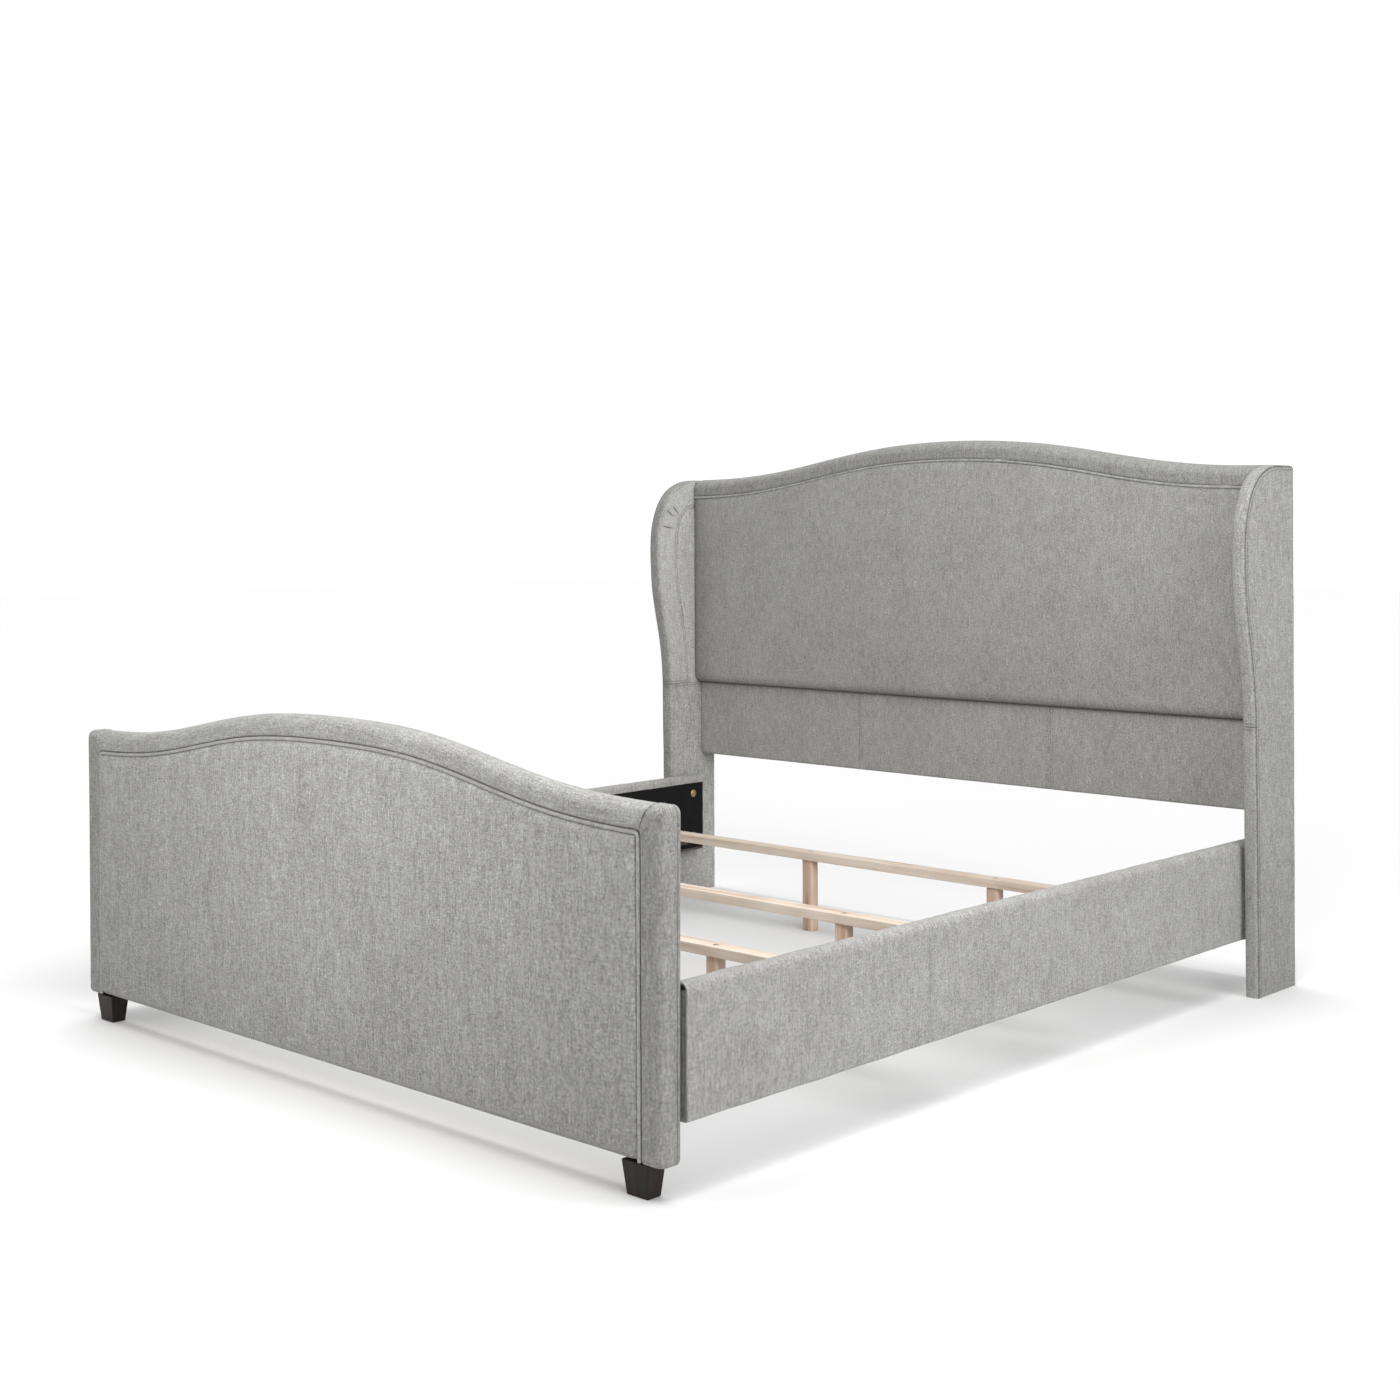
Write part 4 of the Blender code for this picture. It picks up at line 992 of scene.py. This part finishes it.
def tuck_folds(places, away):
    """Relief of the tucks in the band, and how deep in a fold each point lies, 0 to 1."""
    relief, depth = np.zeros(len(places)), np.zeros(len(places))
    for height, begin, finish_at, slant in TUCKS:
        off = places - run_at_height(height) + slant * (away - begin)
        inside = np.exp(-((away - (begin + finish_at) / 2) / ((finish_at - begin) * 0.42)) ** 4)
        fold = inside * line_at(off, 1.3 * MM)
        relief += 3.0 * MM * fold - 1.4 * MM * inside * line_at(off - 4.0 * MM, 3.0 * MM)
        depth += fold
    return relief, depth


def turned_edge(to_edge):
    """Relief beside the band's turned edge: it dives at the edge, with a stitch line behind."""
    edge = 1.2 * MM * line_at(to_edge, 1.4 * MM) - 0.6 * MM * line_at(to_edge - 3.8 * MM, 2.2 * MM)
    return edge + 1.1 * MM * line_at(to_edge - 7.5 * MM, 1.2 * MM)


def build_wing_wrap(name, side, places, widths, replaces, joint, nap_tone_and_painted_light):
    """The cloth over the wing's front edge: from the outer seam round to the inner face.

    joint is where along the seam it is sewn to the next cloth, at the knee.
    """
    points, normals = on_seam(places)
    section = wrap_section()
    flat_shares = spaced(0.0, 1.0, 0.07, ((1.0, 0.16, 0.008), (0.90, 0.12, 0.011), (0.0, 0.1, 0.03)))[1:]
    cols = len(section) + len(flat_shares)
    front = np.zeros((len(places), cols, 3))
    back = np.zeros_like(front)
    cloth = np.zeros((len(places), cols, 2))
    # painted shade: a dark line along the knee seam
    painted_shading = np.ones((len(places), cols)) - 0.30 * line_at(places - joint, 1.2 * MM)[:, None]
    crown = 4.0 * MM + 1.5 * MM * np.clip(-normals[:, 0], 0.0, 1.0)
    seam_mark = flat_seam(places - joint)
    for col, (x, share) in enumerate(section):
        reach = crown * share + (0.3 * MM * ripple(places, x, 0.12, 51) + seam_mark) * min(share * 2, 1.0)
        reach -= 1.2 * MM * (col == 0)
        front[:, col, 0] = x
        front[:, col, 1:] = points + normals * reach[:, None]
        back[:, col, 0] = np.clip(x, WING_INNER + WING_SKIN, WING_OUTER - WING_SKIN)
        back[:, col, 1:] = points - normals * 0.0005
        cloth[:, col, 0] = x
        # painted shade: a dark line along the seam to the outer cover
        painted_shading[:, col] -= 0.58 * line_at(WING_OUTER - x, 2.0 * MM)
        # painted shade: the left wing's front band is made darker
        painted_shading[:, col] *= 1 - 0.20 * (side < 0) * (share > 0.3)
    start = len(section)
    for col, share in enumerate(flat_shares, start):
        away = share * widths
        to_edge = widths * (1 - share)
        has_edge = widths < 0.12         # only the band ends in a turned edge that shows
        soft = 0.35 * MM * ripple(places, away, 0.10, 52) * min(share * 4, 1.0)
        tucks, depth = tuck_folds(places, away)
        bulge = 0.24 * MM * math.sin(math.pi * share)
        front[:, col, 0] = WING_INNER - bulge + turned_edge(to_edge) * has_edge + soft - seam_mark + tucks
        front[:, col, 1:] = points - normals * away[:, None]
        back[:, col, 1:] = front[:, col, 1:]
        cloth[:, col, 0] = WING_INNER - away
        # painted shade: darker down in the tucks' folds and along the band's turned edge
        painted_shading[:, col] -= 0.35 * depth + 0.50 * line_at(to_edge, 1.7 * MM) * has_edge
        # painted light: the inner face is made paler
        painted_shading[:, col] *= 1 + nap_tone_and_painted_light * min(away.max() / 0.010, 1.0)
    back[:, start:, 0] = WING_INNER + WING_SKIN
    cloth[..., 1] = places[:, None]
    front[..., 0] *= side
    back[..., 0] *= side
    add_padded(name, shell(front, back), cloth, replaces, painted_shading)


def build_wing_upper(label, side):
    """The band above the knee, narrowing where it runs on over the wing's flat top."""
    start = run_at_height(WING_KNEE_Z)
    tuck_runs = [(run_at_height(tuck[0]), 0.02, 0.0007) for tuck in TUCKS]
    places = spaced(start, SEAM_RUN[-1], 0.007, tuck_runs + [(start, 0.02, 0.0008)])
    hidden = run_at_height(WING_TOP - 0.001)
    shrink = np.clip((places - hidden + 0.02) / 0.03, 0.0, 1.0)
    widths = WRAP - (WRAP - 0.006) * shrink
    replaces = (f"wing_band_{label}",)
    build_wing_wrap(f"wing_band_cloth_{label}", side, places, widths, replaces, start, INNER_PAINTED_LIGHT)


def build_wing_lower(label, side):
    """The cover below the knee, one cloth over the front and all of the inner face."""
    end = run_at_height(WING_KNEE_Z) - 0.0003
    places = spaced(0.0, end, 0.012, ((end, 0.02, 0.0008),))
    points, _ = on_seam(places)
    widths = WING_BACK - 0.001 - points[:, 0]
    build_wing_wrap(f"wing_lower_cloth_{label}", side, places, widths, (), end, LOWER_PAINTED_LIGHT)


def front_of(z):
    """The wing's front edge at a height."""
    front = SEAM[:, 0] < WING_CROWN_Y + 0.001
    return np.interp(z, SEAM[front, 1], SEAM[front, 0])


def back_of(z, back, radius=0.012):
    """The wing's back edge, which turns forward in a small curve at the top."""
    return back - falling_away(z - WING_TOP + radius, radius)


def build_wing_inner(label, side):
    """The plain inner cover behind the band's turned edge, above the knee seam."""
    top = WING_TOP - 0.0015
    under_band = 0.016           # its hidden edge runs this far under the band
    zs = spaced(WING_KNEE_Z + 0.0004, top, 0.015, ((top, 0.05, 0.001), (WING_KNEE_Z, 0.02, 0.0008)))
    shares = spaced(0.0, 1.0, 0.08, ((0.0, 0.2, 0.008),))
    start = front_of(zs) + WRAP - under_band
    end = back_of(zs, WING_BACK - 0.001)
    z, y = (values.T for values in grid(zs, start, end, shares))
    points = np.stack((y, z), axis=-1)
    from_edge = distance_to(SEAM, points)
    x = WING_INNER + 1.0 * MM * line_at(from_edge - WRAP, 1.5 * MM) + 0.15 * MM
    x = x + 1.5 * MM * (from_edge < WRAP - 0.001) - flat_seam(z - WING_KNEE_Z)
    # painted shade: dark lines along the knee seam and the band's turned edge
    painted_shading = 1 - 0.30 * line_at(z - WING_KNEE_Z, 1.2 * MM) - 0.50 * line_at(from_edge - WRAP, 1.7 * MM)
    # painted light: the inner cover is made paler
    painted_shading *= 1 + INNER_PAINTED_LIGHT
    front = np.stack((side * x, y, z), axis=-1)
    built = shell(front, levelled(front, 0, side * (WING_INNER + WING_SKIN)))
    add_padded(f"wing_inner_cloth_{label}", built, points, (f"wing_inner_panel_{label}",), painted_shading)


def build_wing_outer(label, side):
    """The outer cover, sewn to the band at the front and carried round the wing's back."""
    top = WING_TOP - 0.0004
    zs = spaced(0.0, top, 0.014, ((top, 0.06, 0.0009),))
    shares = spaced(0.0, 0.2, 0.02, ((0.0, 0.16, 0.0035),))
    shares = np.concatenate((shares, np.linspace(0.2, 1.0, 12)[1:]))
    start, end = front_of(zs), back_of(zs, WING_BACK - 0.003)
    z, y = (values.T for values in grid(zs, start, end, shares))
    points = np.stack((y, z), axis=-1)
    off = distance_to(SEAM, points)
    relief = -2.6 * MM * (1 - round_over(off, 0.005)) - 0.9 * MM * line_at(off - 8.5 * MM, 1.2 * MM)
    relief += 0.5 * MM * line_at(off - 5.0 * MM, 2.2 * MM)
    relief += 0.35 * MM * ripple(y, z, 0.2, 61) * round_over(off, 0.04)
    # painted shade: darker towards the bottom, a dark line along the seam to the band and a fainter one on
    # the stitch row
    shade = 0.78 + 0.24 * z / top - 0.58 * line_at(off, 2.0 * MM) - 0.16 * line_at(off - 8.5 * MM, 1.3 * MM)
    face = np.stack((WING_OUTER + relief, y, z), axis=-1)
    turned = []
    radius = 0.004
    for inward, backward in arc((-radius, 0.0), radius, 18, 90, 5):
        turned.append(face[:, -1] + (inward, backward, 0.0))
    for reach in (0.25, 0.6, 0.95, 1.0):
        column = turned[4].copy()
        column[:, 0] = WING_OUTER - 0.006 - reach * (WING_OUTER - WING_INNER - 0.0075)
        column[:, 1] -= 0.0007 * (reach == 1.0)
        turned.append(column)
    front = np.concatenate((face, np.stack(turned, axis=1)), axis=1)
    back = front.copy()
    back[:, :face.shape[1], 0] = WING_OUTER - WING_SKIN
    back[:, face.shape[1]:, 1] = face[:, -1:, 1] - 0.001
    back[:, face.shape[1]:, 0] = np.minimum(back[:, face.shape[1]:, 0], WING_OUTER - WING_SKIN)
    beyond = y[:, -1:] + np.linspace(0.002, 0.044, len(turned))[None]
    cloth = np.stack((np.concatenate((y, beyond), axis=1), front[..., 2]), axis=-1)
    painted_shading = np.concatenate((shade, np.ones((len(zs), len(turned)))), axis=1)
    front[..., 0] *= side
    back[..., 0] *= side
    built = shell(front, back)
    add_padded(f"wing_outer_cloth_{label}", built, cloth, (f"wing_outer_panel_{label}",), painted_shading)


# ---------------------------------------------------------------- side rails
RAIL_SEAM_Y = -0.363
RAIL_FLARE_Y = 0.928         # from here the cover widens to its padding between the wings
RAIL_CORNER, RAIL_ROUND, RAIL_LIP = 0.005, 0.017, 0.012     # radii below, on top and at the lip


def rail_section():
    """The rail cover's section in (x, z): its outside, then the inside back again."""
    outer, inner, top, bottom = RAIL_OUTER, RAIL_INNER, RAIL_TOP, RAIL_BOTTOM
    over = top - 0.003
    face = outer - 0.0035
    outside = [(outer - 0.020, bottom), (outer - 0.012, bottom)]
    outside += arc((face - RAIL_CORNER, bottom + RAIL_CORNER), RAIL_CORNER, -90, 0, 6)
    outside += [(face, z) for z in np.linspace(bottom + 0.012, over - RAIL_ROUND - 0.008, 16)]
    outside += arc((face - RAIL_ROUND, over - RAIL_ROUND), RAIL_ROUND, 0, 90, 9)
    outside += arc((inner + RAIL_LIP, over - RAIL_LIP), RAIL_LIP, 90, 180, 7)
    outside += [(inner, z) for z in np.linspace(over - 0.016, RAIL_TURN_DOWN + 0.0015, 4)]
    outside.append((inner + 0.0006, RAIL_TURN_DOWN + 0.0004))
    inside = [(inner + 0.0044, RAIL_TURN_DOWN), (inner + 0.0046, top - 0.0085),
              (inner + 0.0085, top - 0.0054), (outer - 0.012, top - 0.0072),
              (outer - 0.0085, top - 0.0105), (outer - 0.0062, top - 0.0150),
              (outer - 0.0061, bottom + 0.0052), (outer - 0.020, bottom + 0.0052)]
    return np.array(outside), np.array(inside)


def build_rail_cover(label, side):
    """The rail's cover: slightly crowned, seamed once, and padded out between the wings."""
    outside, inside = rail_section()
    ends = ((RAIL_START, 0.02, 0.001), (RAIL_END, 0.02, 0.002))
    ys = spaced(RAIL_START, RAIL_END, 0.011, (*ends, (RAIL_SEAM_Y, 0.02, 0.0006)))
    normal = -left_of(np.gradient(outside, axis=0))
    height = np.clip((outside[:, 1] - RAIL_BOTTOM) / (RAIL_TOP - RAIL_BOTTOM), 0.0, 1.0)
    on_face = (np.abs(normal[:, 0]) > 0.6) & (outside[:, 0] > RAIL_INNER + 0.01)
    crown = 0.9 * MM * np.sin(math.pi * height) ** 0.7 * on_face
    outward = np.clip((outside[:, 0] - RAIL_INNER) / 0.030, 0.0, 1.0)
    run = run_along(outside)
    lengths = np.concatenate((run, np.linspace(run[-1], run[-1] + 0.3, len(inside))))
    rings, cloth, painted_shading = [], [], []
    for y in ys:
        end = min(y - RAIL_START, RAIL_END - y)
        dip = 1.8 * MM * (1 - round_over(end, 0.008))
        reach = crown - dip + 0.45 * MM * ripple(run, y, 0.16, 71 + int(side))
        reach = reach + 0.4 * flat_seam(y - RAIL_SEAM_Y) * on_face
        reach[:2] = 0.0
        reach[-2:] = np.minimum(reach[-2:], 0.0)
        around = outside + normal * reach[:, None]
        packed = np.clip((y - RAIL_FLARE_Y) / 0.020, 0.0, 1.0)
        around[:, 0] += (RAIL_PACKED - RAIL_OUTER) * outward * packed ** 2 * (3 - 2 * packed)
        rings.append([(side * x, y, z) for x, z in np.concatenate((around, inside))])
        cloth += [(y, length) for length in lengths]
        # painted shade: the cover is darkened a little, and more towards the footboard end
        painted_shading += [0.97 - 0.05 * math.exp((RAIL_START - y) / 0.4)] * len(lengths)
    add_padded(f"rail_cover_cloth_{label}", sweep(np.array(rings)), cloth, (f"rail_cover_{label}",), painted_shading)


def build_rail_end(label, side):
    """The cover's cloth folded over the end of the board, at the footboard."""
    start, end = RAIL_INNER + 0.0052, RAIL_OUTER - 0.0039
    xs = spaced(start, end, 0.0035, ((start, 0.01, 0.0008), (end, 0.012, 0.0008)))
    highs = RAIL_TOP - 0.0036 - falling_away(xs - end + RAIL_ROUND, RAIL_ROUND)
    highs -= falling_away(RAIL_INNER + RAIL_LIP - xs, RAIL_LIP)
    lows = RAIL_BOTTOM + 0.0004 + falling_away(xs - end + RAIL_CORNER, RAIL_CORNER)
    shares = spaced(0.0, 1.0, 0.04, ((0.0, 0.04, 0.005), (1.0, 0.04, 0.005)))
    x, z = grid(xs, lows, highs, shares)
    y = RAIL_START + 0.0004 + 0.2 * MM * ripple(x, z, 0.03, 91)
    front = np.stack((side * x, y, z), axis=-1)
    built = shell(front, levelled(front, 1, RAIL_START + 0.0019))
    cloth = np.stack((x, z), axis=-1)
    # painted shade: the end cloth in the footboard's shadow is darkened evenly
    add_padded(f"rail_end_cloth_{label}", built, cloth, (), np.full(x.shape, 0.55))


def build_liner(label, side):
    """Black lining stapled inside the rail, drawn in a little at each staple."""
    low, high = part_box(f"rail_liner_{label}")
    ys = spaced(low.y, high.y, 0.012)
    zs = np.linspace(low.z, high.z, 24)
    y, z = np.meshgrid(ys, zs)
    face, wall = (low.x, high.x) if side > 0 else (high.x, low.x)
    staple = np.abs(np.sin(math.pi * y / 0.075)) ** 0.5
    near_edge = np.exp(-np.minimum(z - low.z, high.z - z) / 0.012)
    reach = 0.5 * MM * ripple(y, z, 0.12, 81) * (1 - near_edge) - 0.4 * MM * near_edge * (1 - staple)
    reach = np.clip(reach, -0.9 * MM, 0.15 * MM)
    front = np.stack((np.full_like(y, face) - side * reach, y, z), axis=-1)
    built = shell(front, levelled(front, 0, wall))
    replaces = (f"rail_liner_{label}",)
    piece = add_piece(f"rail_liner_cloth_{label}", built, front[..., 1:], LINING, replaces)


# ---------------------------------------------------------------- stage, light and camera
WORLD_STRENGTH = 0.60
BACKDROP_STRENGTH = 1.1
FLOOR_ALBEDO = 0.68
FLOOR_REACH = 30.0
# each: name, the direction it comes from, strength, angle it spreads over in degrees
SUNS = (
    ("key_softbox", (0.85, -0.16, 0.50), 2.2, 42.0),
    ("top_softbox", (-0.38, 0.20, 1.0), 1.75, 52.0),
)
# each: name, place, aim, side length, power in watts
SOFTBOXES = (
    ("front_softbox", (0.10, -2.20, 1.20), (-0.05, -1.10, 0.52), 0.8, 10.0),
    ("head_softbox", (1.50, -0.80, 1.90), (-0.90, 1.00, 1.00), 0.9, 32.0),
)
CAMERA_PLACE = (3.3695, -3.4611, 1.1823)
CAMERA_TURN = 0.7395         # radians to the left of +Y
CAMERA_ROLL = 0.0042
CAMERA_LENS = 49.53
CAMERA_SHIFT = (-0.0429, -0.1238)


def stage_plane(name, low, high, height, finish):
    """A level rectangle that belongs to the stage."""
    corners = [(low[0], low[1]), (high[0], low[1]), (high[0], high[1]), (low[0], high[1])]
    mesh = bpy.data.meshes.new(name)
    mesh.from_pydata([(x, y, height) for x, y in corners], [], [(0, 1, 2, 3)])
    mesh.materials.append(finish.material)
    plane = bpy.data.objects.new(name, mesh)
    bpy.context.scene.collection.objects.link(plane)
    return plane


def build_stage():
    """A pale floor, lights and world; the scrim shades the floor under the bed, itself unseen."""
    paint = Finish("studio_white", Base_Color=grey(FLOOR_ALBEDO), Roughness=0.9, Specular_IOR_Level=0.1)
    stage_plane("studio_floor", (-FLOOR_REACH, -FLOOR_REACH), (FLOOR_REACH, FLOOR_REACH), 0.0, paint)
    gauze = Finish("studio_gauze", Base_Color=grey(0.02), Alpha=0.19)
    right, front, back = FOOT_HALF - 0.01, FOOT_FRONT + 0.01, HEAD_BACK - 0.01
    scrim = stage_plane("studio_scrim", (-right, front), (right, back), 0.010, gauze)
    scrim.visible_camera = False
    build_world()
    for name, towards, strength, angle in SUNS:
        data = bpy.data.lights.new(name, "SUN")
        data.energy = strength
        data.angle = math.radians(angle)
        add_light(name, data, towards)
    for name, place, aim, size, power in SOFTBOXES:
        data = bpy.data.lights.new(name, "AREA")
        data.size = size
        data.energy = power
        light = add_light(name, data, Vector(place) - Vector(aim))
        light.location = place
        light.visible_camera = False
    bpy.context.scene.view_settings.view_transform = "Standard"


def add_light(name, data, towards):
    """A light that shines from the given direction."""
    light = bpy.data.objects.new(name, data)
    light.rotation_mode = "QUATERNION"
    light.rotation_quaternion = Vector(towards).to_track_quat("Z", "Y")
    bpy.context.scene.collection.objects.link(light)
    return light


def build_world():
    """An even white backdrop that gives less light than it shows."""
    world = bpy.data.worlds.new("studio")
    world.use_nodes = True
    tree = world.node_tree
    fill = tree.nodes["Background"]
    backdrop = tree.nodes.new("ShaderNodeBackground")
    for node, strength in ((fill, WORLD_STRENGTH), (backdrop, BACKDROP_STRENGTH)):
        node.inputs["Color"].default_value = grey(1.0)
        node.inputs["Strength"].default_value = strength
    seen = tree.nodes.new("ShaderNodeLightPath")
    chosen = tree.nodes.new("ShaderNodeMixShader")
    tree.links.new(seen.outputs["Is Camera Ray"], chosen.inputs[0])
    tree.links.new(fill.outputs[0], chosen.inputs[1])
    tree.links.new(backdrop.outputs[0], chosen.inputs[2])
    tree.links.new(chosen.outputs[0], tree.nodes["World Output"].inputs["Surface"])
    bpy.context.scene.world = world


def build_camera():
    """A level camera with a shifted lens, so upright edges stay nearly upright."""
    turn, roll = CAMERA_TURN, CAMERA_ROLL
    forward = Vector((-math.sin(turn), math.cos(turn), 0.0))
    right = Vector((math.cos(turn), math.sin(turn), 0.0))
    up = Vector((0.0, 0.0, 1.0))
    rolled_right = math.cos(roll) * right - math.sin(roll) * up
    rolled_up = math.cos(roll) * up + math.sin(roll) * right
    data = bpy.data.cameras.new("photo_view")
    data.sensor_width = 36.0
    data.lens = CAMERA_LENS
    data.shift_x, data.shift_y = CAMERA_SHIFT
    camera = bpy.data.objects.new("photo_view", data)
    turned = Matrix((rolled_right, rolled_up, -forward)).transposed().to_4x4()
    camera.matrix_world = Matrix.Translation(CAMERA_PLACE) @ turned
    bpy.context.scene.collection.objects.link(camera)
    bpy.context.scene.camera = camera


# ---------------------------------------------------------------- the bed
def build_bed():
    """Every piece of the bed, from the foot to the head and then each side."""
    finish_cad_nodes()
    build_footboard_border()
    build_cord("footboard_welt_cord", welt_path(), FOOT_FRONT + 0.0015, ("footboard_welt",), 5)
    build_footboard_pad()
    back_cover("footboard_back_cloth", "footboard_back_cover", foot_top, FOOT_HALF - SKIN,
               FOOT_BOTTOM + 0.0005, FOOT_BACK, SKIN + 0.0006, 15)
    build_headboard_border()
    xs = np.linspace(-HEAD_HALF + 0.0004, HEAD_HALF - 0.0004, 260)
    welt_line = np.stack((xs, head_top(xs) - BORDER - WELT_SLOT / 2), axis=1)
    build_cord("headboard_welt_cord", welt_line, HEAD_FRONT + 0.002, ("headboard_welt",), 6)
    build_headboard_pad()
    build_lower_panel()
    back_cover("headboard_back_cloth", "headboard_back_cover", head_top, HEAD_HALF, HEAD_BOTTOM + 0.0005,
               HEAD_BACK, BORDER + 0.0006, 35)
    for label, side in SIDES:
        build_wing_outer(label, side)
        build_wing_upper(label, side)
        build_wing_lower(label, side)
        build_wing_inner(label, side)
        build_rail_cover(label, side)
        build_rail_end(label, side)
        build_liner(label, side)


build_bed()
build_stage()
build_camera()
